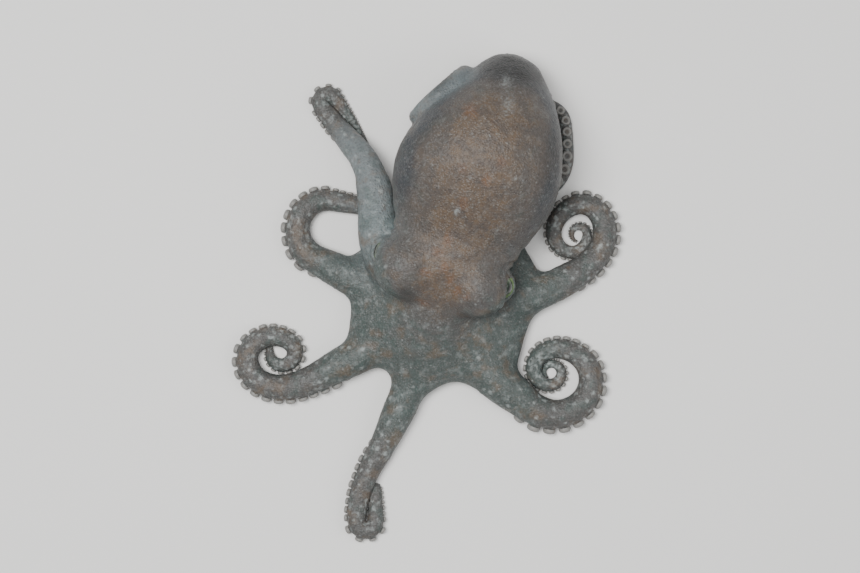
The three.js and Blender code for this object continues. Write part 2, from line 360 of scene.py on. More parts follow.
def make_arms() -> list[Arm]:
    """The eight arms in the pose, anticlockwise from the animal's front left.

    Returns:
        The arms, each with its centre line.
    """
    left, right = Outer.LEFT, Outer.RIGHT
    return [
        Arm("left_1", -43, 18.4, 0.65, right, (30, 62),
            path((53, 4), (47, 182, 1.7), (27, 149, 3), (31, 416, 2.9)), bay=39, web_end=45),
        Arm("left_2", 13.5, 18, 0.68, right, (40, 72),
            path((52.5, 6, 3.3), (20, 26), (34, 157, 3), (27, 155, 2.5), (11, 88, 0.5),
                 (15, 270, 1.1)), bay=49, web_end=54),
        Arm("left_3", 41, 13.2, 0.56, right, (40, 80),
            path((54, 13.4), (24, -8), (11, 40), (14.5, 9), (15, 115, 1.5), (26, 250, 2)),
            bay=32, web_end=54, turn_out=172.0, bold=1.9),
        Arm("left_4", 85.5, 13, 0.45, right, (78, 94), path((44, 4), (35, 17), (12, -66)),
            bay=28, web_end=44, coil=Stretch(98, 420, 2.1)),
        Arm("right_4", 127, 22.5, 0.8, left, (78, 96),
            path((19, 0), (32, -34), (14, 12), (15, 26), (23, -4), (11, -181), (25, -3)),
            bay=42, web_end=40, lift=(14, 42, 64, 96, 10.3)),
        Arm("right_3", 149, 15.6, 0.44, left, (36, 62),
            path((54, 6), (38, -167, 1.3), (12, 2), (27, 330, 3)), bay=33, web_end=45),
        Arm("right_2", 202.5, 14.8, 0.37, left, (26, 52),
            path((47, 7), (14, -10), (34, -148, 3.5), (18, -89), (24, -257)),
            bay=26.5, web_end=42),
        Arm("right_1", -106.5, 13.2, 0.3, right, (40, 66),
            path((62, -13, 2), (28, 32, 3), (12.4, 178), (15, -4)), bay=25, web_end=40),
    ]


# ---- body ---------------------------------------------------------------------------------------


@dataclass(frozen=True)
class Funnel:
    """A blunt tube under the left side of the neck."""

    bearing: float = 104.0
    start: float = 34.0
    height: float = 7.5
    length: float = 16.0
    tip: float = 3.3
    root: float = 4.5
    wall: float = 1.1
    bore: float = 6.0
    edge: float = 1.0
    bore_edge: float = 0.5
    crease: float = 1.6
    reach: float = 8.0


@dataclass(frozen=True)
class Mouth:
    """A round lip on the underside with a hollow in it."""

    lip_radius: float = 4.2
    lip_height: float = 2.6
    lip_girth: float = 1.5
    hollow_height: float = 1.8
    hollow_radius: float = 3.2
    crease: float = 1.0
    edge: float = 0.8
    reach: float = 12.0
    depth: float = 2.0


@dataclass
class Body:
    """Head and mantle as one form, with the eyes' mounds, the funnel and the mouth."""

    funnel: Funnel = Funnel()
    mouth: Mouth = Mouth()
    bearing: float = 74.0
    eye_along: float = 22.0
    eye_out: float = 23.6
    eye_height: float = 28.0
    eye_drift: float = -1.2
    eye_radius: float = 5.6
    left_mound: tuple[float, float, float, float] = (18.5, 15.0, 32.0, 11.6)
    right_mound: tuple[float, float, float, float] = (19.0, -16.0, 31.5, 13.0)
    neck: float = 37.0
    left_gaze_rise: float = 40.0
    right_gaze_rise: float = 22.0
    lid_thickness: float = 1.1
    # half the angles that the lids open by, along and across the slit
    lid_length: float = 48.0
    lid_height: float = 27.0
    # rings in the skin round an eye: distance from the ball and depth
    lid_folds: Table = ((2.6, 0.7), (3.9, -0.45), (5.4, 0.4), (6.9, -0.25))
    lid_fold_width: float = 0.75
    lid_fold_reach: float = 18.0
    lid_gap: float = 0.05
    lid_inner_edge: float = 0.3
    lid_edge: float = 0.7
    lid_reach: float = 14.0
    lid_crease: float = 2.4
    mound_crease: float = 5.0
    end_edge: float = 3.0
    # folds across the neck's sides: depth, length behind the neck and width
    neck_folds: Table = ((1.1, 0.0, 1.6), (-0.5, 3.6, 2.2))
    neck_fold_at: float = 1.0
    neck_fold_heights: Pair = (44.0, 16.0)
    # along, half width, underside, top, drift to the animal's left
    stations: Table = (
        (-28, 1.8, 3.4, 4.6, 0),
        (-16, 3, 5, 9, 0),
        (-6, 5, 8, 17, 0),
        (0, 9, 10, 25, 0),
        (8, 15.5, 11, 34, 0),
        (20, 23, 10, 42, 0),
        (29, 25, 10, 44, 0),
        (37, 26.8, 12, 46, 0.5),
        (54, 32.6, 12, 56, 1),
        (68, 33, 10.5, 60, 1.6),
        (84, 28, 8, 57, 3),
        (97, 20.8, 3, 47, 4.5),
        (106, 15.2, 0.5, 37, 4),
        (112, 10.3, 2, 28, 4),
        (115.5, 5, 7, 20, 3.6),
    )

    @property
    def ahead(self) -> np.ndarray:
        """From the mouth towards the mantle's tip."""
        angle = math.radians(self.bearing)
        return np.array([math.cos(angle), math.sin(angle), 0.0])

    @property
    def left(self) -> np.ndarray:
        """Towards the animal's left."""
        return np.cross(self.ahead, UP)

    def point(self, along: float, aside: float, height: float) -> np.ndarray:
        """A place by its length along the body, its place aside and its height."""
        return along * self.ahead + aside * self.left + height * UP

    def eye(self, side: int) -> np.ndarray:
        """The middle of an eye, 1 for the left one and -1 for the right one."""
        return self.point(self.eye_along, side * self.eye_out + self.eye_drift, self.eye_height)

    def mound(self, side: int) -> np.ndarray:
        """The middle of the mound round an eye."""
        return self.point(*(self.left_mound if side > 0 else self.right_mound)[:3])

    def mound_radius(self, side: int) -> float:
        """The radius of the mound round an eye."""
        return (self.left_mound if side > 0 else self.right_mound)[3]

    def gaze(self, side: int) -> np.ndarray:
        """The direction that an eye looks in."""
        rise = math.radians(self.left_gaze_rise if side > 0 else self.right_gaze_rise)
        return math.cos(rise) * side * self.left + math.sin(rise) * UP

    def profile(self, along: np.ndarray) -> list[np.ndarray]:
        """Half width, underside, top and drift at lengths along the body, on a smooth curve.

        Args:
            along: Lengths from the mouth.

        Returns:
            Four arrays, of the shape of along.
        """
        table = np.array(self.stations)
        count = len(table) - 1
        padded = np.vstack([2 * table[0] - table[1], table, 2 * table[-1] - table[-2]])
        fine = np.linspace(0, count, 24 * count + 1)
        index = np.minimum(fine.astype(int), count - 1)
        mix = (fine - index)[:, None]
        a, b, c, d = (padded[index + offset] for offset in range(4))
        curve = 0.5 * (2 * b + (c - a) * mix + (2 * a - 5 * b + 4 * c - d) * mix**2
                       + (3 * b - a - 3 * c + d) * mix**3)
        return [np.interp(along, curve[:, 0], curve[:, column]) for column in range(1, 5)]


# ---- flesh --------------------------------------------------------------------------------------


@dataclass
class Grid:
    """A box of cells that hold distances to the skin, below 0 inside the flesh."""

    low: np.ndarray
    high: np.ndarray
    cell: float = 0.6
    side_edge: float = 0.35
    shape: tuple[int, ...] = field(init=False)
    axes: list[np.ndarray] = field(init=False)

    def __post_init__(self) -> None:
        """Counts the cells and places their middles."""
        self.shape = tuple(int(n) + 1 for n in np.ceil((self.high - self.low) / self.cell))
        self.axes = [
            (low + self.cell * np.arange(count)).astype(np.float32)
            for low, count in zip(self.low, self.shape)
        ]

    def blank(self, band: float) -> np.ndarray:
        """A field with no flesh in it."""
        return np.full(self.shape, band, np.float32)

    def window(self, low: np.ndarray,
               high: np.ndarray) -> tuple[tuple[slice, ...], list[np.ndarray]]:
        """The cells inside a box.

        Args:
            low: The box's lowest corner.
            high: Its highest corner.

        Returns:
            The slices that cut the window, and its three open coordinate arrays.
        """
        first = np.clip(np.floor((low - self.low) / self.cell), 0, self.shape).astype(int)
        last = np.clip(np.ceil((high - self.low) / self.cell) + 1, 0, self.shape).astype(int)
        cut = tuple(slice(a, b) for a, b in zip(first, last))
        x, y, z = (axis[part] for axis, part in zip(self.axes, cut))
        return cut, [x[:, None, None], y[None, :, None], z[None, None, :]]

    def around(self, centre: np.ndarray,
               reach: float) -> tuple[tuple[slice, ...], list[np.ndarray]]:
        """The cells round a place.

        Args:
            centre: The place.
            reach: How far the cells reach from it along each axis.

        Returns:
            The slices that cut the window, and its open coordinates from the place.
        """
        cut, places = self.window(centre - reach, centre + reach)
        return cut, [place - middle for place, middle in zip(places, centre)]

    def ball(self, values: np.ndarray, centre: np.ndarray, radius: float, reach: float) -> None:
        """Adds a ball to a field.

        Args:
            values: The field to add to.
            centre: The ball's middle.
            radius: Its radius.
            reach: The width of the rounded crease round it.
        """
        cut, off = self.around(centre, radius + reach)
        values[cut] = blend_min(values[cut], np.sqrt(dot(off, off)) - radius, reach)

    def tube(self, values: np.ndarray, line: Line, radius: np.ndarray, flat: float, band: float,
             facing: np.ndarray, depth: np.ndarray) -> None:
        """Adds a tube of changing radius along a line, flatter than it is wide.

        Args:
            values: The field to add to.
            line: The tube's centre line.
            radius: Half the width at each place.
            flat: Height over width of the section.
            band: How far outside the tube its distance is wanted.
            facing: The side that is cut off flat at each place.
            depth: How far from the centre the flat side lies.
        """
        squeeze = 1.0 / flat**2 - 1.0
        for index in range(len(line.along) - 1):
            start, end = line.place[index], line.place[index + 1]
            near, far = radius[index], radius[index + 1]
            reach = max(near, far) + band
            low, high = np.minimum(start, end), np.maximum(start, end)
            cut, places = self.window(low - reach, high + reach)
            share, off = beside(places, start, end)
            rise = dot(off, line.up[index])
            distance = np.sqrt(dot(off, off) + squeeze * rise * rise)
            distance -= near + (far - near) * share
            past = dot(off, facing[index]) - depth[index]
            distance = blend_max(distance, past, self.side_edge * near)
            np.minimum(values[cut], distance, out=values[cut])


@dataclass
class Web:
    """The web that joins the roots of the arms, thick at the mouth and thin at its edge."""

    arms: list[Arm]
    edge: float = 3.2
    floor: float = 3.4
    dome: float = 12.0
    dome_reach: float = 24.0
    body: float = 9.0
    thin_margin: float = 8.0
    inset: float = 4.0
    bay_shape: float = 0.7
    corners: int = 241

    def reach(self, bearing: np.ndarray) -> np.ndarray:
        """How far the web reaches in each direction: long on an arm, short in the bay between.

        Args:
            bearing: Directions from the mouth, in degrees.

        Returns:
            The distance of the edge from the mouth.
        """
        ordered = sorted(self.arms, key=lambda arm: arm.bearing % 360)
        result = np.zeros_like(bearing)
        for arm, following in zip(ordered, ordered[1:] + ordered[:1]):
            span = (following.bearing - arm.bearing) % 360
            off = (bearing - arm.bearing) % 360
            share = np.clip(off / span, 0.0, 1.0)
            ends = arm.web_end + (following.web_end - arm.web_end) * share - self.inset
            value = ends + (arm.bay - ends) * np.sin(np.pi * share) ** self.bay_shape
            result = np.where(off < span, value, result)
        return result

    def field(self, grid: Grid) -> np.ndarray:
        """Distances to the web.

        Args:
            grid: The grid to fill.

        Returns:
            A field with a membrane that has a round edge.
        """
        x, y = np.meshgrid(grid.axes[0], grid.axes[1], indexing="ij")
        out = self._past_edge(x, y)
        inward = np.maximum(-out, 0.0)
        dome = self.dome * np.exp(-((np.hypot(x, y) / self.dome_reach) ** 2))
        swelling = (self.body - self.edge) * (1.0 - np.exp(-inward / self.thin_margin))
        half = ((self.edge + swelling + dome) / 2).astype(np.float32)[:, :, None]
        out = np.maximum(out + self.edge / 2, 0.0).astype(np.float32)[:, :, None]
        rise = grid.axes[2][None, None, :] - (self.floor + half)
        return np.minimum(np.sqrt(rise**2 + out**2) - half, WIDE)

    def _past_edge(self, x: np.ndarray, y: np.ndarray) -> np.ndarray:
        """How far places lie outside the web's edge, seen from above.

        Args:
            x: The places' first coordinate.
            y: The second one.

        Returns:
            The distances, below 0 inside the edge.
        """
        turns = np.linspace(-np.pi, np.pi, self.corners)
        reach = self.reach(np.degrees(turns))
        corners = np.stack([reach * np.cos(turns), reach * np.sin(turns)], axis=1)
        least = np.full(x.shape, np.inf)
        for start, end in zip(corners[:-1], corners[1:]):
            off = beside((x, y), start, end)[1]
            np.minimum(least, dot(off, off), out=least)
        is_inside = np.hypot(x, y) < np.interp(np.arctan2(y, x), turns, reach)
        return np.where(is_inside, -1.0, 1.0) * np.sqrt(least)


@dataclass
class Flesh:
    """The whole animal as one field of distances."""

    arms: list[Arm]
    body: Body
    grid: Grid
    web_reach: float = 62.0
    overlap: float = 4.0
    tube_step: float = 1.0
    web_crease: float = 4.0
    # the body's crease: width at the sides, share of the broad one there, half width of the middle
    crease: float = 3.6
    crease_side: float = 0.35
    crease_middle: float = 11.0
    # lengths along the body where the broad crease begins, is full, begins to end and ends
    crease_run: tuple[float, float, float, float] = (-34.0, -12.0, 4.0, 24.0)
    # crease of the free arms: least width, gain under the mantle and the lengths where it comes in
    touch: tuple[float, float, float, float] = (0.5, 1.7, 26.0, 38.0)
    flat_height: float = 0.15
    flat_edge: float = 0.8
    # bed of a sucker: least width of arm, then depth, radius and crease in rim radii
    bed: tuple[float, float, float, float] = (2.5, 0.3, 1.02, 0.4)

    def build(self) -> np.ndarray:
        """Joins web, arms, head and mantle.

        Returns:
            The finished field.
        """
        roots = self._arms(0.0, self.web_reach, WIDE)
        crown = blend_min(roots, Web(self.arms).field(self.grid), self.web_crease)
        along, aside = self._plan()
        middle = np.exp(-((aside / self.crease_middle) ** 2))
        begin, full, fade, end = self.crease_run
        broad = (WIDE - self.crease) * (self.crease_side + (1.0 - self.crease_side) * middle)
        crease = self.crease + broad * (ease(begin, full, along) * (1.0 - ease(fade, end, along)))
        flesh = blend_min(crown, self._body(), self._layer(crease))
        free = self._arms(self.web_reach - self.overlap, math.inf, BAND)
        least, gain, begin, full = self.touch
        flesh = blend_min(flesh, free, self._layer(least + gain * ease(begin, full, along)))
        self._eyes(flesh)
        self._mouth(flesh)
        z = self.grid.axes[2][None, None, :]
        return blend_max(flesh, self.flat_height - z, self.flat_edge)

    def _plan(self) -> tuple[np.ndarray, np.ndarray]:
        """Lengths along and aside of the body for all columns of cells."""
        places = np.meshgrid(self.grid.axes[0], self.grid.axes[1], indexing="ij")
        return dot(places, self.body.ahead), dot(places, self.body.left)

    @staticmethod
    def _layer(values: np.ndarray) -> np.ndarray:
        """Numbers for columns of cells, made ready to meet the whole field."""
        return values[:, :, None].astype(np.float32)

    def _arms(self, start: float, end: float, band: float) -> np.ndarray:
        """The arms between two lengths, with a bed of flesh under each sucker.

        Args:
            start: The first length from the mouth.
            end: The last one.
            band: How far outside the arms distances are wanted.

        Returns:
            A field with these arms alone.
        """
        values = self.grid.blank(band)
        smallest, sunk, radius, crease = self.bed
        for arm in self.arms:
            stop = min(end, arm.length)
            if start >= stop:
                continue
            line = arm.line.at(np.linspace(start, stop, int((stop - start) / self.tube_step) + 2))
            width = arm.width(line.along)
            facing = arm.facing(line)
            depth = arm.oral_depth(line.along) * width
            self.grid.tube(values, line, width * arm.flesh, arm.height, band, facing, depth)
            row, bases, rims = arm.seats(smallest)
            for along, base, rim, out in zip(row.along, bases, rims, arm.facing(row)):
                if start < along < stop:
                    self.grid.ball(values, base - sunk * rim * out, radius * rim, crease * rim)
        return values

    def _body(self) -> np.ndarray:
        """Head, mantle, eye mounds and funnel.

        Returns:
            A field with the body alone.
        """
        body = self.body
        along, aside = self._plan()
        half, low, high, drift = body.profile(along)
        beyond = self._layer(np.maximum(along - body.stations[-1][0], body.stations[0][0] - along))
        across = ((aside - drift) / half)[:, :, None]
        rise = (self.grid.axes[2][None, None, :] - ((low + high) / 2)[:, :, None])
        rise = rise / ((high - low) / 2)[:, :, None]
        ratio = (np.sqrt(across**2 + rise**2) - 1.0).astype(np.float32)
        slopes = np.gradient(ratio, self.grid.cell)
        steep = np.sqrt(sum(slope**2 for slope in slopes))
        values = np.clip(ratio / np.maximum(steep, 1e-4), -WIDE, WIDE)
        values = blend_max(values, beyond, body.end_edge)
        self._funnel(values)
        for side in (1, -1):
            self.grid.ball(values, body.mound(side), body.mound_radius(side), body.mound_crease)
            lid = body.eye_radius + body.lid_thickness
            self.grid.ball(values, body.eye(side), lid, body.lid_crease)
            self._lid_folds(values, side)
        past_neck = self._layer(along - body.neck - body.neck_fold_at)
        low_down = ease(*body.neck_fold_heights, self.grid.axes[2])[None, None, :]
        for depth, behind, width in body.neck_folds:
            values += depth * np.exp(-(((past_neck - behind) / width) ** 2)) * low_down
        return values

    def _funnel(self, values: np.ndarray) -> None:
        """Adds a blunt tube under the neck, with an open bore at its forward end.

        Args:
            values: The field to add to.
        """
        funnel = self.body.funnel
        axis = turned(EAST, UP, math.radians(funnel.bearing))
        front = axis * funnel.start + UP * funnel.height
        ends = np.stack([front, front + axis * funnel.length])
        low, high = ends.min(axis=0) - funnel.reach, ends.max(axis=0) + funnel.reach
        cut, places = self.grid.window(low, high)
        off = [place - first for place, first in zip(places, front)]
        run = dot(off[:2], axis)
        away = np.sqrt(np.maximum(dot(off, off) - run**2, 0.0))
        radius = funnel.tip + (funnel.root - funnel.tip) * np.clip(run / funnel.length, 0.0, 1.0)
        tube = blend_max(away - radius, np.maximum(-run, run - funnel.length), funnel.edge)
        bore = np.maximum(away - (funnel.tip - funnel.wall), run - funnel.bore)
        opened = blend_max(tube, -bore, funnel.bore_edge)
        values[cut] = blend_min(values[cut], opened, funnel.crease)

    def _lid_folds(self, values: np.ndarray, side: int) -> None:
        """Rings an eye with low folds of skin.

        Args:
            values: The field to change.
            side: 1 for the left eye, -1 for the right one.
        """
        body = self.body
        cut, off = self.grid.around(body.eye(side), body.lid_fold_reach)
        away = np.sqrt(dot(off, off)) - body.eye_radius
        for ring, depth in body.lid_folds:
            values[cut] += depth * np.exp(-(((away - ring) / body.lid_fold_width) ** 2))

    def _eyes(self, values: np.ndarray) -> None:
        """Opens the lids over each eye.

        Args:
            values: The field to change.
        """
        body = self.body
        wide, high = (math.tan(math.radians(angle)) for angle in (body.lid_length, body.lid_height))
        for side in (1, -1):
            gaze = body.gaze(side)
            over = unit(np.cross(gaze, body.ahead)) * side
            cut, off = self.grid.around(body.eye(side), body.lid_reach)
            length, rise = dot(off[:2], body.ahead) / wide, dot(off, over) / high
            opening = 0.5 * (np.sqrt(length**2 + rise**2) - dot(off, gaze))
            ball = np.sqrt(dot(off, off)) - (body.eye_radius + body.lid_gap)
            cleared = blend_max(opening, -ball, body.lid_inner_edge)
            values[cut] = blend_max(values[cut], -cleared, body.lid_edge)

    def _mouth(self, values: np.ndarray) -> None:
        """Rings the mouth with a lip on the underside and hollows it.

        Args:
            values: The field to change.
        """
        mouth = self.body.mouth
        corner = np.array([-mouth.reach, -mouth.reach, -mouth.depth])
        cut, (x, y, z) = self.grid.window(corner, np.full(3, mouth.reach))
        lip = np.sqrt((np.hypot(x, y) - mouth.lip_radius) ** 2 + (z - mouth.lip_height) ** 2)
        hollow = np.sqrt(x**2 + y**2 + (z - mouth.hollow_height) ** 2) - mouth.hollow_radius
        lipped = blend_min(values[cut], lip - mouth.lip_girth, mouth.crease)
        values[cut] = blend_max(lipped, -hollow, mouth.edge)


# ---- node trees ---------------------------------------------------------------------------------


class Wire:
    """An output socket of a node tree, with arithmetic that adds Math nodes."""

    def __init__(self, tree: NodeTree, socket: bpy.types.NodeSocket | None) -> None:
        """Keeps the socket and the tree that it belongs to."""
        self.tree = tree
        self.socket = socket

    def math(self, operation: str, *values: Wire | float) -> Wire:
        """The result of a Math node on this value and others.

        Args:
            operation: The Math node's operation.
            values: What follows this value in the node's inputs.

        Returns:
            The node's output.
        """
        inputs = dict(enumerate((self, *values)))
        return self.tree.node("ShaderNodeMath", {"operation": operation}, inputs)

    def step(self, low: float, high: float) -> Wire:
        """Smooth step of this value, from 0 at low to 1 at high."""
        inputs = {"Value": self, "From Min": low, "From Max": high}
        return self.tree.node("ShaderNodeMapRange", {"interpolation_type": "SMOOTHSTEP"}, inputs)

    def __add__(self, other: Wire | float) -> Wire:
        """This value plus another."""
        return self.math("ADD", other)

    def __sub__(self, other: Wire | float) -> Wire:
        """This value less another."""
        return self.math("SUBTRACT", other)

    def __rsub__(self, other: float) -> Wire:
        """A number less this value."""
        return (self * -1.0) + other

    def __mul__(self, other: Wire | float) -> Wire:
        """This value times another."""
        return self.math("MULTIPLY", other)

    __radd__ = __add__
    __rmul__ = __mul__


class NodeTree:
    """A node tree of any kind, with one method for any node."""

    def __init__(self, tree: bpy.types.NodeTree) -> None:
        """Takes the tree and empties it."""
        self.tree = tree
        self.tree.nodes.clear()

    def node(self, kind: str, settings: dict | None = None, inputs: dict | None = None,
             output: str | int = 0) -> Wire:
        """Adds a node.

        Args:
            kind: The node's type.
            settings: Its properties, which are set first.
            inputs: Values or wires by the name, identifier or number of the socket.
            output: The name, identifier or number of the socket to return.

        Returns:
            The output as a wire.
        """
        made = self.tree.nodes.new(kind)
        for key, value in (settings or {}).items():
            setattr(made, key, value)
        for key, value in (inputs or {}).items():
            socket = self._socket(made.inputs, key)
            if isinstance(value, Wire):
                self.tree.links.new(value.socket, socket)
            else:
                socket.default_value = value
        return Wire(self, self._socket(made.outputs, output) if made.outputs else None)

    @staticmethod
    def _socket(sockets: bpy.types.bpy_prop_collection, key: str | int) -> bpy.types.NodeSocket:
        """Finds a socket.

        Args:
            sockets: A node's inputs or outputs.
            key: The number, identifier or name.

        Returns:
            The socket.
        """
        if isinstance(key, int):
            return sockets[key]
        by_identifier = [socket for socket in sockets if socket.identifier == key]
        return (by_identifier or [socket for socket in sockets if socket.name == key])[0]


class ShaderTree(NodeTree):
    """The node tree of a new material."""

    def __init__(self, name: str) -> None:
        """Starts the material.

        Args:
            name: The material's name.
        """
        self.material = bpy.data.materials.new(name)
        self.material.use_nodes = True
        super().__init__(self.material.node_tree)

    def place(self) -> Wire:
        """Object coordinates."""
        return self.node("ShaderNodeTexCoord", output="Object")

    def mask(self, name: str, output: str = "Fac") -> Wire:
        """A value that the mesh stores at its vertices."""
        return self.node("ShaderNodeAttribute", {"attribute_name": name}, output=output)

    def noise(self, size: float, detail: float = 3.0, roughness: float = 0.55) -> Wire:
        """Cloudy noise from 0 to 1.

        Args:
            size: The size of its features, in millimetres.
            detail: How many finer layers it has.
            roughness: How strong the finer layers are.

        Returns:
            The noise.
        """
        inputs = {"Vector": self.place(), "Scale": 1.0 / (size * MM), "Detail": detail,
                  "Roughness": roughness}
        return self.node("ShaderNodeTexNoise", {}, inputs)

    def dots(self, size: float, core: float, rim: float, jitter: float = 1.0) -> Wire:
        """Round dots, one in each of many scattered cells.

        Args:
            size: The size of a cell, in millimetres.
            core: Where a dot begins to fade, as a share of that size.
            rim: Where it ends.
            jitter: How far the cells are from regular rows.

        Returns:
            1 in the middle of a dot and 0 outside it.
        """
        inputs = {"Vector": self.place(), "Scale": 1.0 / (size * MM), "Randomness": jitter}
        return 1.0 - self.node("ShaderNodeTexVoronoi", {}, inputs).step(core, rim)

    def mix(self, share: Wire | float, a: Wire | tuple, b: Wire | tuple) -> Wire:
        """Mixes two colours by a share.

        Args:
            share: 0 for the first colour, 1 for the second.
            a: The first colour.
            b: The second colour.

        Returns:
            The mixed colour.
        """
        settings = {"data_type": "RGBA", "clamp_factor": True}
        inputs = {"Factor_Float": share, "A_Color": a, "B_Color": b}
        return self.node("ShaderNodeMix", settings, inputs, "Result_Color")

    def bump(self, height: Wire, distance: float, strength: float = 1.0) -> Wire:
        """A normal from a height, with its full depth in millimetres."""
        inputs = {"Height": height, "Distance": distance * MM, "Strength": strength}
        return self.node("ShaderNodeBump", {}, inputs)

    def finish(self, inputs: dict) -> bpy.types.Material:
        """Ends the tree in one Principled shader.

        Args:
            inputs: Its values and wires.

        Returns:
            The material.
        """
        shader = self.node("ShaderNodeBsdfPrincipled", {}, inputs)
        self.node("ShaderNodeOutputMaterial", {}, {"Surface": shader})
        return self.material


def linear(value: float) -> float:
    """Linear light from one display value between 0 and 255."""
    share = value / 255.0
    return share / 12.92 if share <= 0.04045 else ((share + 0.055) / 1.055) ** 2.4


def colour(red: float, green: float, blue: float) -> tuple[float, float, float, float]:
    """A colour from display values between 0 and 255, as linear light."""
    return linear(red), linear(green), linear(blue), 1.0


def flesh_gloss(depth: float) -> dict[str, float | tuple]:
    """What all flesh has in common below its surface, to a depth in millimetres."""
    return {"Subsurface Weight": 0.1, "Subsurface Radius": (1.0, 0.6, 0.45),
            "Subsurface Scale": depth * MM, "IOR": 1.4}


# ---- finishes -----------------------------------------------------------------------------------


@dataclass(frozen=True)
class SkinFinish:
    """Soft, finely granular skin with rusty mottling, pale spots and bluish margins, and with
    painted light: painted shade on the margins, the hollows and the tip, painted light on the
    raised tops and a painted highlight along the mantle's ridge.
    """

    warm: tuple = colour(80, 73, 68)
    # bluish grey that paints shade on the mantle's flanks and tip
    bluish_edge_shade: tuple = colour(50, 55, 60)
    web: tuple = colour(72, 80, 77)
    arm: tuple = colour(79, 78, 76)
    ochre: tuple = colour(104, 85, 65)
    sand: tuple = colour(100, 84, 68)
    teal: tuple = colour(66, 80, 76)
    russet: tuple = colour(108, 76, 54)
    pale: tuple = colour(166, 172, 170)
    speck: tuple = colour(124, 124, 121)
    dark: tuple = colour(38, 37, 36)
    lid: tuple = colour(104, 128, 74)
    # bluish white, partly the arm's own tint and partly painted light where the raised tops catch
    # the lamps
    bright: tuple = colour(120, 129, 131)
    # sizes of the patterns, in millimetres, from the broadest to the finest
    cloud_size: float = 16.0
    tint_size: float = 7.0
    mottle_size: float = 4.5
    blotch_size: float = 3.2
    flock_size: float = 3.0
    speck_size: float = 2.0
    dot_size: float = 1.25
    grain_size: float = 1.1
    granule_size: float = 0.9
    relief: float = 0.28
    depth: float = 1.6

    def material(self) -> bpy.types.Material:
        """Builds the skin's material.

        Returns:
            The material, which reads the masks that the skin stores.
        """
        t = ShaderTree("skin")
        back, margin, web = t.mask("back"), t.mask("margin"), t.mask("web")
        cloud, mottle = t.noise(self.cloud_size, 2), t.noise(self.mottle_size, 5, 0.65)
        fine, tint = t.noise(self.grain_size, 3), t.noise(self.tint_size, 3)
        tone = t.mix(back + margin, self.arm, self.warm)
        # painted shade: the margin darkens the mantle's flanks and tip towards a cool grey, over
        # their own bluish tint
        tone = t.mix((margin + (cloud - 0.5) * 1.1).step(0.15, 0.95) * 0.85, tone, self.bluish_edge_shade)
        tone = t.mix((web + (cloud - 0.5) * 1.2).step(0.2, 0.9) * 0.85, tone, self.web)
        # painted light on the tops of the raised arm and the coil, over their bluish tint
        tone = t.mix(t.mask("bright") * (0.4 + mottle * 0.5), tone, self.bright)
        limbs = (1.0 - back) * (1.0 - margin)
        tone = t.mix(limbs * (tint.step(0.5, 0.68) * 0.5), tone, self.sand)
        tone = t.mix(limbs * (tint.step(0.48, 0.32) * 0.45), tone, self.teal)
        tone = t.mix((back + (mottle - 0.5) * 2.6).step(0.45, 1.5) * 0.6, tone, self.ochre)
        rust = t.mask("rust") + (mottle - 0.5) * 1.2
        tone = t.mix(rust.step(0.3, 1.2) * 0.5, tone, self.russet)
        blotch = t.noise(self.blotch_size, 3, 0.6).step(0.5, 0.74)
        tone = t.mix(blotch * (0.1 + web * 0.18), tone, self.pale)
        dots = t.dots(self.dot_size, 0.15, 0.6)
        tone = t.mix(dots * fine.step(0.3, 0.6) * 0.32, tone, self.dark)
        grain = t.dots(self.granule_size, 0.1, 0.6, jitter=0.9)
        tone = t.mix(grain * mottle.step(0.3, 0.6) * (0.34 - margin * 0.16), tone, self.speck)
        specks = t.dots(self.speck_size, 0.08, 0.36) * t.noise(self.flock_size, 2).step(0.48, 0.66)
        tone = t.mix(specks * (0.3 - back * 0.08), tone, self.pale)
        shade = t.mask("shade") + (mottle - 0.5) * 0.4
        tone = t.mix(shade.step(0.15, 1.0) * 0.78, tone, self.dark)
        # pale spots, and the painted highlight streak on the mantle's rear ridge
        spots_and_highlight = (t.mask("pale") + (fine - 0.5) * 1.3).step(0.25, 1.05)
        tone = t.mix(spots_and_highlight * 0.47, tone, self.pale)
        lid = t.mask("lid") + (fine - 0.5) * 0.3
        tone = t.mix(lid.step(0.35, 0.75) * 0.65, tone, self.lid)
        height = grain * 0.55 + fine * 0.5 + specks * 0.4 - dots * 0.3
        return t.finish({
            "Base Color": tone,
            "Roughness": 0.46 + (fine - 0.5) * 0.3 - margin * 0.06,
            "Normal": t.bump(height, self.relief, 0.9),
            "Specular IOR Level": 0.36,
            **flesh_gloss(self.depth),
        })


@dataclass(frozen=True)
class SuckerFinish:
    """Pale, smooth flesh of the suckers, darker towards the middle of the cup."""

    rim: tuple = colour(124, 122, 118)
    cup: tuple = colour(100, 97, 93)
    pale: tuple = colour(140, 141, 137)
    grain_size: float = 0.9
    relief: float = 0.08
    depth: float = 1.2

    def material(self) -> bpy.types.Material:
        """Builds the suckers' material.

        Returns:
            The material, which reads the depth inside a cup that the mesh stores.
        """
        t = ShaderTree("sucker")
        fine = t.noise(self.grain_size, 3)
        tone = t.mix(fine.step(0.35, 0.75) * 0.45, self.rim, self.pale)
        tone = t.mix(t.mask("cup").step(0.15, 0.95), tone, self.cup)
        return t.finish({
            "Base Color": tone,
            "Roughness": 0.44 + fine * 0.12,
            "Normal": t.bump(fine, self.relief, 0.6),
            **flesh_gloss(self.depth),
        })


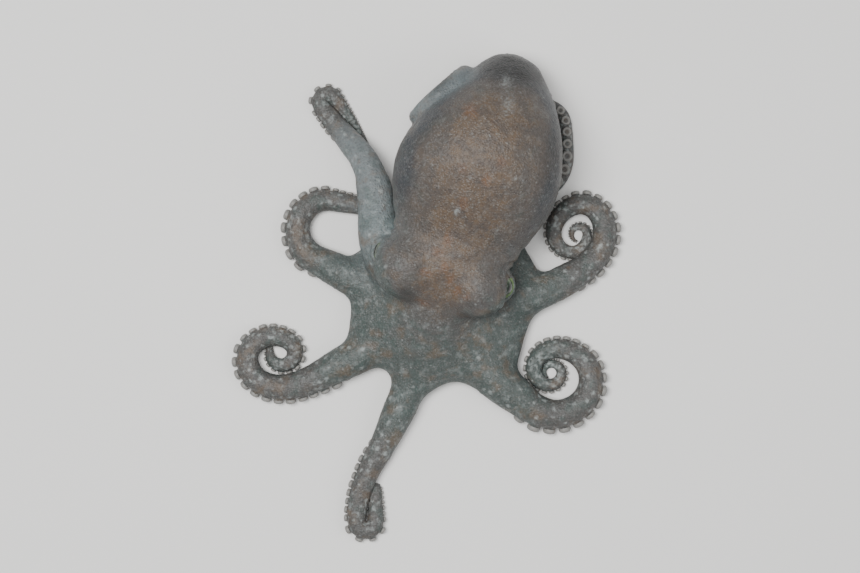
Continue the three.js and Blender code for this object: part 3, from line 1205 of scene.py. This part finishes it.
@dataclass(frozen=True)
class EyeFinish:
    """A dark slit pupil in a greenish iris under a wet cornea."""

    iris: tuple = colour(52, 62, 52)
    glint: tuple = colour(104, 122, 88)
    ball: tuple = colour(36, 42, 40)
    pupil: tuple = colour(7, 8, 8)
    streak_size: float = 0.5

    def material(self) -> bpy.types.Material:
        """Builds the eye's material.

        Returns:
            The material, which reads the directions from the eye's middle that the mesh stores.
        """
        t = ShaderTree("eye")
        look = {"Vector": t.mask("look", "Vector")}
        length, rise = (t.node("ShaderNodeSeparateXYZ", {}, look, axis).math("ABSOLUTE")
                        for axis in "XY")
        around = (length * length + rise * rise).math("SQRT")
        streaks = t.noise(self.streak_size, 4)
        tone = t.mix(around.step(0.3, 0.75) + (streaks - 0.5) * 0.5, self.iris, self.glint)
        tone = t.mix(around.step(0.74, 0.84), tone, self.ball)
        slit = (length * 0.35 + rise).step(0.13, 0.19)
        return t.finish({
            "Base Color": t.mix(slit, self.pupil, tone),
            "Roughness": 0.1 + streaks * 0.06,
            "IOR": 1.38,
            "Coat Weight": 0.6,
            "Coat Roughness": 0.05,
        })


@dataclass(frozen=True)
class FloorFinish:
    """A pale, matt studio floor."""

    tone: tuple = colour(226, 225, 222)
    patch: tuple = colour(233, 232, 229)
    cloud_size: float = 90.0

    def material(self) -> bpy.types.Material:
        """Builds the floor's material.

        Returns:
            The material.
        """
        t = ShaderTree("floor")
        cloud = t.noise(self.cloud_size, 2)
        return t.finish({
            "Base Color": t.mix(cloud * 0.4, self.tone, self.patch),
            "Roughness": 0.75 + cloud * 0.1,
        })


# ---- meshes -------------------------------------------------------------------------------------


@dataclass
class Place:
    """Where the mouth stands in the model's frame."""

    mouth: np.ndarray

    @classmethod
    def from_eyes(cls, body: Body) -> Place:
        """Finds the mouth from the model's two eyes.

        Args:
            body: The body, which says how far the eyes are from the mouth.

        Returns:
            The place.
        """
        corners = np.array([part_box("eye_left"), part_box("eye_right")]) / MM
        middle = corners.mean(axis=(0, 1))
        return cls(middle - body.point(body.eye_along, body.eye_drift, middle[2]))

    def metres(self, points: np.ndarray) -> np.ndarray:
        """Points from the mouth's millimetres to the frame's metres."""
        return (points + self.mouth) * MM


def linked(name: str, data: bpy.types.ID) -> bpy.types.Object:
    """An object that holds a mesh, a light or a camera, in the scene.

    Args:
        name: The object's name.
        data: What it holds.

    Returns:
        The object.
    """
    made = bpy.data.objects.new(name, data)
    bpy.context.scene.collection.objects.link(made)
    return made


def make_object(name: str, points: np.ndarray, faces: np.ndarray) -> bpy.types.Object:
    """A smooth mesh object at the origin.

    Args:
        name: The object's name.
        points: Its vertices in metres.
        faces: Its faces, all with the same number of corners.

    Returns:
        The object, linked to the scene.
    """
    mesh = bpy.data.meshes.new(name)
    sides = faces.shape[1]
    mesh.vertices.add(len(points))
    mesh.vertices.foreach_set("co", points.astype(np.float32).ravel())
    mesh.loops.add(faces.size)
    mesh.loops.foreach_set("vertex_index", faces.astype(np.int32).ravel())
    mesh.polygons.add(len(faces))
    mesh.polygons.foreach_set("loop_start", np.arange(0, faces.size, sides, dtype=np.int32))
    mesh.update(calc_edges=True)
    mesh.shade_smooth()
    return linked(name, mesh)


def listed_object(name: str, points: np.ndarray, faces: list[list[int]]) -> bpy.types.Object:
    """An object from lists of vertices and faces.

    Args:
        name: The object's name.
        points: Its vertices.
        faces: Its faces, each with any number of corners.

    Returns:
        The object, linked to the scene.
    """
    mesh = bpy.data.meshes.new(name)
    mesh.from_pydata(points.tolist(), [], faces)
    return linked(name, mesh)


def store(made: bpy.types.Object, name: str, values: np.ndarray) -> None:
    """Stores numbers or vectors at an object's vertices.

    Args:
        made: The object.
        name: The name that finishes and trees read them by.
        values: One number or one vector for each vertex.
    """
    kind, key = ("FLOAT", "value") if values.ndim == 1 else ("FLOAT_VECTOR", "vector")
    layer = made.data.attributes.new(name, kind, "POINT")
    layer.data.foreach_set(key, values.astype(np.float32).ravel())


def place_vertices(made: bpy.types.Object, points: np.ndarray) -> None:
    """Moves an object's vertices to places in metres."""
    made.data.vertices.foreach_set("co", points.astype(np.float32).ravel())
    made.data.update()


def vertices(made: bpy.types.Object) -> np.ndarray:
    """Reads an object's vertices.

    Args:
        made: The object.

    Returns:
        Their places, in metres.
    """
    points = np.empty(len(made.data.vertices) * 3, np.float32)
    made.data.vertices.foreach_get("co", points)
    return points.reshape(-1, 3).astype(float)


def baked(made: bpy.types.Object) -> None:
    """Turns an object's modifiers into its plain mesh.

    Args:
        made: The object.
    """
    bpy.context.view_layer.update()
    seen = made.evaluated_get(bpy.context.evaluated_depsgraph_get())
    mesh = bpy.data.meshes.new_from_object(seen)
    made.modifiers.clear()
    made.data = mesh
    mesh.name = made.name


@dataclass(frozen=True)
class Marks:
    """Blots on head and mantle: place along and aside, size along and aside, strength. Two of the
    pale blots paint a highlight streak along the mantle's rear ridge.
    """

    pale: Table = (
        (64.5, -14.5, 1.1, 1.1, 0.8), (59.3, -1.1, 1.2, 1.2, 0.9), (64.2, 16, 1.2, 1.2, 0.7),
        (45.7, -2.6, 2.2, 1.8, 0.8), (77.3, 1.5, 0.9, 0.9, 0.7), (42.5, 14.8, 1.1, 1.1, 0.6),
        (54.2, -16, 0.9, 0.9, 0.6), (62.3, -23.3, 0.9, 0.9, 0.6), (29, -17.9, 1.3, 1.3, 0.6),
        (53.7, 3.8, 0.9, 0.9, 0.6), (16.7, -23.8, 1.6, 1.4, 0.7), (31, -7.3, 1.8, 0.7, 0.8),
        # the blots at along 101 and 91 are a painted highlight streak along the mantle's rear ridge
        (101, 2.5, 6, 3.6, 0.6), (91, 5.5, 8, 4, 0.55), (24, 12, 5, 4, 0.35),
        (13, 9.5, 2.5, 2.5, 0.4),
    )
    rust: Table = (
        (18.8, -8, 2.4, 4.6, 1), (27.8, -5.6, 3, 4, 1), (13.7, 10.5, 2, 2.4, 1),
        (6.8, -5, 1.5, 3.6, 1),
        (22.4, -1.1, 4, 3, 1), (48.6, -1.2, 4.5, 3, 1), (59.9, 5.1, 4, 3, 1), (68.1, 9, 3.5, 3, 1),
        (62, -5, 3, 2.6, 1), (85.1, -8.3, 4, 4.5, 1), (33.6, -2.7, 4, 3, 1), (18.5, 2.5, 4, 2.4, 1),
        (15.5, 6.7, 3, 2, 1), (-16, -20.8, 3.4, 4.5, 0.8), (-10.9, -20.2, 3, 4, 0.8),
        (-9.2, 18.7, 1.6, 3, 0.8),
    )
    shade: Table = (
        (11.5, 12.9, 2.4, 3.2, 0.5), (10, 22, 2.4, 2.6, 0.6), (9, -13.1, 2.6, 5.5, 0.7),
        (20.5, -27.5, 6, 1.0, 0.5), (114, 2, 12.5, 24, 1.6), (84, 30, 24, 7, 0.7),
        (96, -24, 14, 7, 0.7),
    )


@dataclass
class Skin:
    """The one skin over all the flesh, with its markings."""

    arms: list[Arm]
    body: Body
    place: Place
    marks: Marks = Marks()
    margin: tuple[float, float, float] = (3.0, 3.0, 2.4)
    triangles: int = 192_000
    seed: int = 7
    lump_size: float = 7.0
    lump_height: float = 0.14
    # two sizes of wart: spacing, largest radius and height
    warts: Table = ((2.2, 0.75, 0.24), (4.6, 1.3, 0.3))
    wart_height: float = 0.8
    # height over the floor below which the skin is smooth, and above which it is fully rough
    roughening: Pair = (0.4, 2.5)
    # where the masks come in and end: lengths along the body, or out from the mouth
    head_start: Pair = (-4.0, 12.0)
    back_end: Pair = (108.0, 88.0)
    margin_start: Pair = (30.0, 52.0)
    # tip: where the margin mask darkens the mantle's tip with painted shade
    tip: Pair = (92.0, 108.0)
    crown_end: Pair = (72.0, 40.0)
    crown_middle: float = 20.0
    face_end: Pair = (8.0, -8.0)
    # the bluish white painted light on the raised tops: its run on the raised arm, its fades at the
    # start and the end, its heights
    top_light_run: Pair = (34.0, 92.0)
    top_light_fades: Pair = (14.0, 16.0)
    top_light_heights: Pair = (4.0, 9.0)
    # pale spots on an arm: what both ends leave free, and rows as shares of a lean in degrees
    spot_ends: Pair = (12.0, 6.0)
    spot_rows: tuple[float, ...] = (-1.0, -0.3, 0.45, 1.0)
    spot_lean: float = 48.0
    # how often a spot is left out, sizes, strengths and the spacing in widths of the arm
    spot_gaps: float = 0.4
    spot_sizes: Pair = (0.35, 0.95)
    spot_strengths: Pair = (0.35, 1.0)
    spot_spacing: float = 0.24
    # turns the corner of a cube into four numbers with no visible order
    HASH: ClassVar[np.ndarray] = np.array([
        [0.1271, 0.2695, 0.1133, 0.0971], [0.3117, 0.1833, 0.2719, 0.2113],
        [0.0747, 0.2467, 0.1246, 0.3391],
    ])
    HASH_SCALE: ClassVar[float] = 1000.0
    HASH_GAIN: ClassVar[float] = 43758.5453

    def make(self) -> bpy.types.Object:
        """Builds, thins and dresses the skin.

        Returns:
            The skin's object.
        """
        low, high = (np.array(corner) / MM - self.place.mouth for corner in CAD_BOX)
        grid = Grid(low - self.margin, high + self.margin)
        values = Flesh(self.arms, self.body, grid).build()
        LOG.info("flesh field of %s cells", values.size)
        points, quads = self._surface(grid, values)
        points = self._wrinkled(points, quads)
        skin = make_object("skin", self.place.metres(points), quads)
        thin = skin.modifiers.new("thin", "DECIMATE")
        thin.ratio = min(1.0, self.triangles / (2 * len(quads)))
        baked(skin)
        skin.data.shade_smooth()
        self._mark(skin)
        skin.data.materials.append(SkinFinish().material())
        LOG.info("skin of %s faces", len(skin.data.polygons))
        return skin

    @staticmethod
    def _surface(grid: Grid, values: np.ndarray) -> tuple[np.ndarray, np.ndarray]:
        """The surface of a field, without loose crumbs or inner hollows.

        Args:
            grid: The grid that the field stands on.
            values: The field.

        Returns:
            The vertices in millimetres and the faces, which point outwards.
        """
        volume = openvdb.FloatGrid(BAND)
        volume.copyFromArray(np.ascontiguousarray(values, np.float32))
        points, quads = volume.convertToQuads(isovalue=0.0)
        quads = quads.astype(np.int64)
        label = np.arange(len(points))
        while True:
            least = label.copy()
            for corner in range(4):
                np.minimum.at(least, quads[:, corner], label[quads].min(axis=1))
            least = least[least]
            if np.array_equal(least, label):
                break
            label = least
        kept = label == np.bincount(label).argmax()
        renumbered = np.cumsum(kept) - 1
        quads = renumbered[quads[kept[quads[:, 0]]]]
        points = points[kept].astype(float) * grid.cell + grid.low
        signed_volume = (points[quads].mean(axis=1) * Skin._facing(points, quads)).sum()
        return points, quads if signed_volume > 0 else quads[:, ::-1]

    @staticmethod
    def _facing(points: np.ndarray, quads: np.ndarray) -> np.ndarray:
        """The directions that faces look in, as the product of their diagonals."""
        a, b, c, d = (points[quads[:, corner]] for corner in range(4))
        return np.cross(c - a, d - b)

    def _wrinkled(self, points: np.ndarray, quads: np.ndarray) -> np.ndarray:
        """Moves the skin in and out in soft folds and low warts.

        Args:
            points: The smooth skin's vertices.
            quads: Its faces.

        Returns:
            The moved vertices.
        """
        facing = self._facing(points, quads)
        normals = np.zeros_like(points)
        for corner in range(4):
            for axis in range(3):
                normals[:, axis] += np.bincount(quads[:, corner], facing[:, axis], len(points))
        normals = unit(normals)
        lumps = np.array([noise.fractal(Vector(point) / self.lump_size, 1.0, 2.0, 3)
                          for point in points])
        warts = sum(self._warts(points, spacing, radius) * height
                    for spacing, radius, height in self.warts)
        free = ease(*self.roughening, points[:, 2])
        height = (self.lump_height * lumps + self.wart_height * warts) * free
        return points + normals * height[:, None]

    def _warts(self, points: np.ndarray, spacing: float, radius: float) -> np.ndarray:
        """Round warts from 0 to 1, about one in each cube of the spacing.

        Args:
            points: Where to look.
            spacing: Side of the cubes, in millimetres.
            radius: Largest radius of a wart.

        Returns:
            The height at each point.
        """
        cube = np.floor(points / spacing)
        height = np.zeros(len(points))
        for step in np.ndindex(3, 3, 3):
            near = cube + np.array(step) - 1.0
            mixed = np.sin(near @ self.HASH * self.HASH_SCALE + self.seed) * self.HASH_GAIN
            random = mixed - np.floor(mixed)
            away = np.linalg.norm(points - (near + random[:, :3]) * spacing, axis=1)
            size = radius * (0.45 + 0.55 * random[:, 3])
            np.maximum(height, np.clip(1.0 - (away / size) ** 2, 0.0, 1.0) ** 2, out=height)
        return height

    def _mark(self, skin: bpy.types.Object) -> None:
        """Stores the masks that the skin's finish reads.

        Args:
            skin: The finished skin.
        """
        points = vertices(skin) / MM - self.place.mouth
        along = points @ self.body.ahead
        aside = points @ self.body.left
        half, low, high, drift = self.body.profile(along)
        across = np.abs(aside - drift) / np.maximum(half, 4.0)
        level = (points[:, 2] - low) / np.maximum(high - low, 5.0)
        inside = ease(1.25, 1.0, across) * ease(*self.head_start, along) * ease(0.35, 0.85, level)
        store(skin, "back", inside * ease(1.05, 0.25, across) * ease(*self.back_end, along))
        # margin: flanks and tip, which the finish darkens with painted shade over a bluish tint
        sides = ease(0.5, 1.0, across) * (0.25 + 0.75 * ease(*self.margin_start, along))
        store(skin, "margin", np.clip((sides + ease(*self.tip, along)) * inside, 0, 1))
        out = np.hypot(points[:, 0], points[:, 1])
        middle = np.exp(-((out / self.crown_middle) ** 2))
        crown = ease(*self.crown_end, out) * (1.0 - 0.6 * middle)
        store(skin, "web", crown * (1.0 - inside))
        flat = np.stack([along, aside], axis=1)
        on_top = ease(0.3, 0.6, level)
        seen = np.maximum(on_top, ease(*self.face_end, along))
        for name, marks in (("rust", self.marks.rust), ("shade", self.marks.shade)):
            store(skin, name, self._blots(flat, marks) * seen)
        spots_and_highlight = self._blots(flat, self.marks.pale) * on_top
        store(skin, "pale", np.maximum(spots_and_highlight, self._arm_spots(points)))
        store(skin, "lid", self._lid(points))
        store(skin, "bright", self._painted_top_light(points))

    @staticmethod
    def _blots(flat: np.ndarray, marks: Table) -> np.ndarray:
        """Soft blots from 0 to 1, seen from above.

        Args:
            flat: Lengths along and aside of the body.
            marks: For each blot its place, its size and its strength.

        Returns:
            The strongest blot at each place.
        """
        result = np.zeros(len(flat))
        for along, aside, length, width, strength in marks:
            off = ((flat[:, 0] - along) / length) ** 2 + ((flat[:, 1] - aside) / width) ** 2
            np.maximum(result, strength * np.exp(-off), out=result)
        return result

    def _arm_spots(self, points: np.ndarray) -> np.ndarray:
        """Pale spots in uneven rows on each arm, over the crown to the tip.

        Args:
            points: The skin's vertices.

        Returns:
            The strongest spot at each vertex, from 0 to 1.
        """
        chance = np.random.default_rng(self.seed)
        tree = kdtree.KDTree(len(points))
        for index, point in enumerate(points):
            tree.insert(point, index)
        tree.balance()
        result = np.zeros(len(points))
        start, end = self.spot_ends
        for arm in self.arms:
            along = start
            while along < arm.length - end:
                width = float(arm.width(along))
                line = arm.line.at(np.array([along]))
                for row in self.spot_rows:
                    if chance.random() < self.spot_gaps:
                        continue
                    lean = math.radians(self.spot_lean * (row + chance.uniform(-0.25, 0.25)))
                    away = line.side[0] * math.sin(lean) + line.up[0] * math.cos(lean)
                    place = line.place[0] + away * width * arm.flesh
                    place = place + line.ahead[0] * chance.uniform(-1.0, 1.0)
                    size = chance.uniform(*self.spot_sizes) * min(1.0, width / 10.0)
                    strength = chance.uniform(*self.spot_strengths)
                    for _, index, distance in tree.find_range(Vector(place), 2.5 * size + 1.0):
                        glow = strength * math.exp(-((max(distance - 0.5, 0.0) / size) ** 2))
                        result[index] = max(result[index], glow)
                along += self.spot_spacing * width
        return result

    def _painted_top_light(self, points: np.ndarray) -> np.ndarray:
        """Painted light on the raised arm and on the upright coil: their bluish white, laid only on
        what stands high.

        Args:
            points: The skin's vertices.

        Returns:
            Its strength at each vertex, from 0 to 1.
        """
        result = np.zeros(len(points))
        fade_in, fade_out = self.top_light_fades
        for arm in self.arms:
            if not (arm.lift or arm.coil):
                continue
            start, end = self.top_light_run if arm.lift else (arm.coil_start, arm.length)
            line = arm.line.at(np.arange(start, end, 2.0))
            for along, place in zip(line.along, line.place):
                near = np.exp(-((np.linalg.norm(points - place, axis=1) / arm.width(along)) ** 4))
                share = ease(start, start + fade_in, along) * ease(end, end - fade_out, along)
                np.maximum(result, near * share, out=result)
        return result * ease(*self.top_light_heights, points[:, 2])

    def _lid(self, points: np.ndarray) -> np.ndarray:
        """The pale rim of the left eye's lower lid.

        Args:
            points: The skin's vertices.

        Returns:
            Its strength at each vertex, from 0 to 1.
        """
        body, gaze = self.body, self.body.gaze(1)
        off = points - body.eye(1)
        away = np.linalg.norm(off, axis=1)
        facing = (off @ gaze) / np.maximum(away, 0.1)
        below = ease(0.5, -1.5, off @ unit(np.cross(gaze, body.ahead)))
        return ease(0.75, 0.4, away - body.eye_radius) * ease(0.6, 0.7, facing) * below


@dataclass
class Suckers:
    """The single row of suckers on every arm, placed by a geometry tree."""

    arms: list[Arm]
    place: Place
    segments: int = 10
    # radius and height of the cup's outline, in rim radii, from the stalk to the middle
    outline: Table = ((0.88, -0.3), (1.0, 0.55), (0.94, 0.82), (0.74, 0.92), (0.4, 0.62))
    middle: float = 0.4
    # how deep inside the cup each ring of the outline is, where the middle is 1
    depths: tuple[float, ...] = (0.0, 0.0, 0.0, 0.15, 0.9)
    size_variation: float = 0.05
    seed: int = 11
    floor_gap: float = 0.05

    def make(self) -> bpy.types.Object:
        """Places a sucker at every seat and makes them one mesh.

        Returns:
            The suckers' object.
        """
        cup = self._cup()
        seats = self._seats()
        tree = self._tree(cup, SuckerFinish().material())
        grow = seats.modifiers.new("grow", "NODES")
        grow.node_group = tree
        sockets = {item.name: item.identifier for item in tree.interface.items_tree}
        grow[sockets["Size Variation"]] = self.size_variation
        grow[sockets["Seed"]] = self.seed
        baked(seats)
        bpy.data.objects.remove(cup)
        self._rest(seats)
        seats.data.shade_smooth()
        LOG.info("suckers of %s faces", len(seats.data.polygons))
        return seats

    def _cup(self) -> bpy.types.Object:
        """One sucker with a rim of radius 1, open towards +Z.

        Returns:
            The sucker's object, which the geometry tree repeats.
        """
        count = self.segments
        turns = np.arange(count) * 2 * np.pi / count
        rings = [
            np.stack([radius * np.cos(turns), radius * np.sin(turns), np.full(count, height)], 1)
            for radius, height in self.outline
        ]
        points = np.vstack([*rings, [[0.0, 0.0, self.middle]]])
        ahead = [(index + 1) % count for index in range(count)]
        top = (len(rings) - 1) * count
        faces = [[first + index, first + after, first + count + after, first + count + index]
                 for first in range(0, top, count) for index, after in enumerate(ahead)]
        faces += [[top + index, top + after, len(points) - 1] for index, after in enumerate(ahead)]
        made = listed_object("cup", points, [*faces, list(range(count))[::-1]])
        store(made, "cup", np.append(np.repeat(self.depths, count), 1.0))
        return made

    def _seats(self) -> bpy.types.Object:
        """One vertex for each sucker, with its size and directions.

        Returns:
            The object that the geometry tree grows the suckers on.
        """
        rows = []
        for arm in self.arms:
            line, base, rim = arm.seats()
            facing = arm.facing(line)
            rows.append(np.hstack([self.place.metres(base), facing, line.ahead, rim[:, None] * MM]))
        table = np.vstack(rows)
        made = listed_object("suckers", table[:, :3], [])
        store(made, "facing", table[:, 3:6])
        store(made, "ahead", table[:, 6:9])
        store(made, "rim", table[:, 9])
        LOG.info("%s suckers", len(table))
        return made

    @staticmethod
    def _tree(cup: bpy.types.Object, material: bpy.types.Material) -> bpy.types.NodeTree:
        """The geometry tree that stands a cup on every seat.

        Args:
            cup: One sucker.
            material: What the suckers are finished in.

        Returns:
            The node group.
        """
        group = bpy.data.node_groups.new("sucker_row", "GeometryNodeTree")
        ends = (("Geometry", "INPUT", "Geometry"), ("Size Variation", "INPUT", "Float"),
                ("Seed", "INPUT", "Int"), ("Geometry", "OUTPUT", "Geometry"))
        for name, way, kind in ends:
            group.interface.new_socket(name, in_out=way, socket_type="NodeSocket" + kind)
        t = NodeTree(group)

        def given(name: str) -> Wire:
            """One of the tree's own inputs."""
            return t.node("NodeGroupInput", output=name)

        def stored(name: str, kind: str = "FLOAT_VECTOR") -> Wire:
            """What the seats store under a name."""
            return t.node("GeometryNodeInputNamedAttribute", {"data_type": kind}, {"Name": name})

        upright = t.node("FunctionNodeAlignRotationToVector", {"axis": "Z"},
                         {"Vector": stored("facing")})
        along_row = t.node("FunctionNodeAlignRotationToVector", {"axis": "X", "pivot_axis": "Z"},
                           {"Rotation": upright, "Vector": stored("ahead")})
        variation = given("Size Variation")
        chance = t.node("FunctionNodeRandomValue", {"data_type": "FLOAT"},
                        {2: 1.0 - variation, 3: 1.0 + variation, "Seed": given("Seed")}, 1)
        stand = t.node("GeometryNodeInstanceOnPoints", {}, {
            "Points": given("Geometry"),
            "Instance": t.node("GeometryNodeObjectInfo", {}, {"Object": cup}, "Geometry"),
            "Rotation": along_row,
            "Scale": stored("rim", "FLOAT") * chance,
        })
        whole = t.node("GeometryNodeRealizeInstances", {}, {"Geometry": stand})
        dressed = t.node("GeometryNodeSetMaterial", {}, {"Geometry": whole, "Material": material})
        t.node("NodeGroupOutput", {}, {"Geometry": dressed})
        return group

    def _rest(self, made: bpy.types.Object) -> None:
        """Presses what would reach through the floor flat on it.

        Args:
            made: The suckers.
        """
        points = vertices(made)
        points[:, 2] = np.maximum(points[:, 2], self.floor_gap * MM)
        place_vertices(made, points)


@dataclass
class Eyes:
    """The two eyes, each a ball with a slightly domed cornea."""

    body: Body
    place: Place
    rings: int = 24
    segments: int = 48
    dome: float = 0.25
    cornea: Pair = (0.7, 1.0)

    def make(self, side: int) -> bpy.types.Object:
        """Builds one eye in its place.

        Args:
            side: 1 for the left eye, -1 for the right one.

        Returns:
            The eye's object.
        """
        gaze = self.body.gaze(side)
        length = self.body.ahead
        over = unit(np.cross(gaze, length)) * side
        points, faces = self._ball()
        made = listed_object("eye_l" if side > 0 else "eye_r", points, faces)
        data = made.data
        store(made, "look", points)
        axes = np.stack([length, over, gaze])
        solid = self.body.eye(side) + self.body.eye_radius * points @ axes
        place_vertices(made, self.place.metres(solid))
        if np.linalg.det(axes) < 0:
            data.flip_normals()
        data.shade_smooth()
        data.materials.append(EyeFinish().material())
        return made

    def _ball(self) -> tuple[np.ndarray, list[list[int]]]:
        """A ball of radius 1 that bulges a little towards +Z, where the cornea is.

        Returns:
            Its vertices and its faces, which point outwards.
        """
        count, last = self.segments, (self.rings - 2) * self.segments
        levels = np.pi * np.arange(1, self.rings)[:, None] / self.rings
        turns = 2 * np.pi * np.arange(count) / count
        rings = np.stack([np.sin(levels) * np.cos(turns), np.sin(levels) * np.sin(turns),
                          np.cos(levels) + 0.0 * turns], axis=2)
        points = np.vstack([rings.reshape(-1, 3), [[0.0, 0.0, 1.0], [0.0, 0.0, -1.0]]])
        points *= 1.0 + self.dome / self.body.eye_radius * ease(*self.cornea, points[:, 2:])
        pairs = [(index, (index + 1) % count) for index in range(count)]
        faces = [[ring + a, ring + count + a, ring + count + b, ring + b]
                 for ring in range(0, last, count) for a, b in pairs]
        faces += [[len(points) - 2, a, b] for a, b in pairs]
        faces += [[len(points) - 1, last + b, last + a] for a, b in pairs]
        return points, faces


# ---- studio -------------------------------------------------------------------------------------


@dataclass(frozen=True)
class Lamp:
    """A soft square light: its place and size in metres and its power in watts."""

    name: str
    where: tuple[float, float, float]
    size: float
    power: float

    def make(self) -> None:
        """Hangs the light so that it points at the animal."""
        data = bpy.data.lights.new(self.name, "AREA")
        data.size = self.size
        data.energy = self.power
        light = linked(self.name, data)
        light.location = self.where
        light.rotation_euler = (-Vector(self.where)).to_track_quat("-Z", "Y").to_euler()


@dataclass
class Studio:
    """A pale floor, soft light and a camera straight above."""

    camera_height: float = 0.9
    camera_aside: float = -0.0005
    camera_ahead: float = 0.0145
    lens: float = 89.7
    floor_size: float = 3.0
    sky: tuple[float, float, float, float] = (0.9, 0.93, 1.0, 1.0)
    sky_strength: float = 0.25
    lamps: tuple[Lamp, ...] = (
        Lamp("key", (-0.4, 0.1, 1.15), 0.5, 13.0),
        Lamp("fill", (0.9, -0.2, 0.9), 0.9, 5.0),
        Lamp("top", (-0.1, 0.1, 1.3), 0.6, 10.0),
    )

    def make(self, place: Place) -> None:
        """Sets the floor, the lights and the camera.

        Args:
            place: Where the mouth stands, which the camera looks down on.
        """
        self._floor()
        for lamp in self.lamps:
            lamp.make()
        world = bpy.data.worlds.new("studio")
        world.use_nodes = True
        background = world.node_tree.nodes["Background"].inputs
        background["Color"].default_value = self.sky
        background["Strength"].default_value = self.sky_strength
        bpy.context.scene.world = world
        data = bpy.data.cameras.new("camera")
        data.lens = self.lens
        camera = linked("camera", data)
        camera.location = (place.mouth[0] * MM + self.camera_aside,
                           place.mouth[1] * MM + self.camera_ahead, self.camera_height)
        bpy.context.scene.camera = camera

    def _floor(self) -> None:
        """Lays the floor."""
        half = self.floor_size / 2
        corners = np.array([[-half, -half, 0], [half, -half, 0], [half, half, 0], [-half, half, 0]])
        floor = make_object("floor", corners, np.array([[0, 1, 2, 3]]))
        floor.data.materials.append(FloorFinish().material())


def main() -> None:
    """Builds the animal and its studio, piece by piece."""
    logging.basicConfig(level=logging.INFO, format="%(name)s: %(message)s")
    arms, body = make_arms(), Body()
    place = Place.from_eyes(body)
    LOG.info("mouth at %s", place.mouth.round(3))
    flesh_nodes = [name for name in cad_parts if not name.startswith("eye_")]

    skin = Skin(arms, body, place).make()
    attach(skin, "root")
    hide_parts(*flesh_nodes)

    suckers = Suckers(arms, place).make()
    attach(suckers, "root")

    eyes = Eyes(body, place)
    for side, node in ((1, "eye_left"), (-1, "eye_right")):
        eye = eyes.make(side)
        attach(eye, "root")
        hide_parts(node)

    Studio().make(place)


if __name__ == "__main__":
    main()
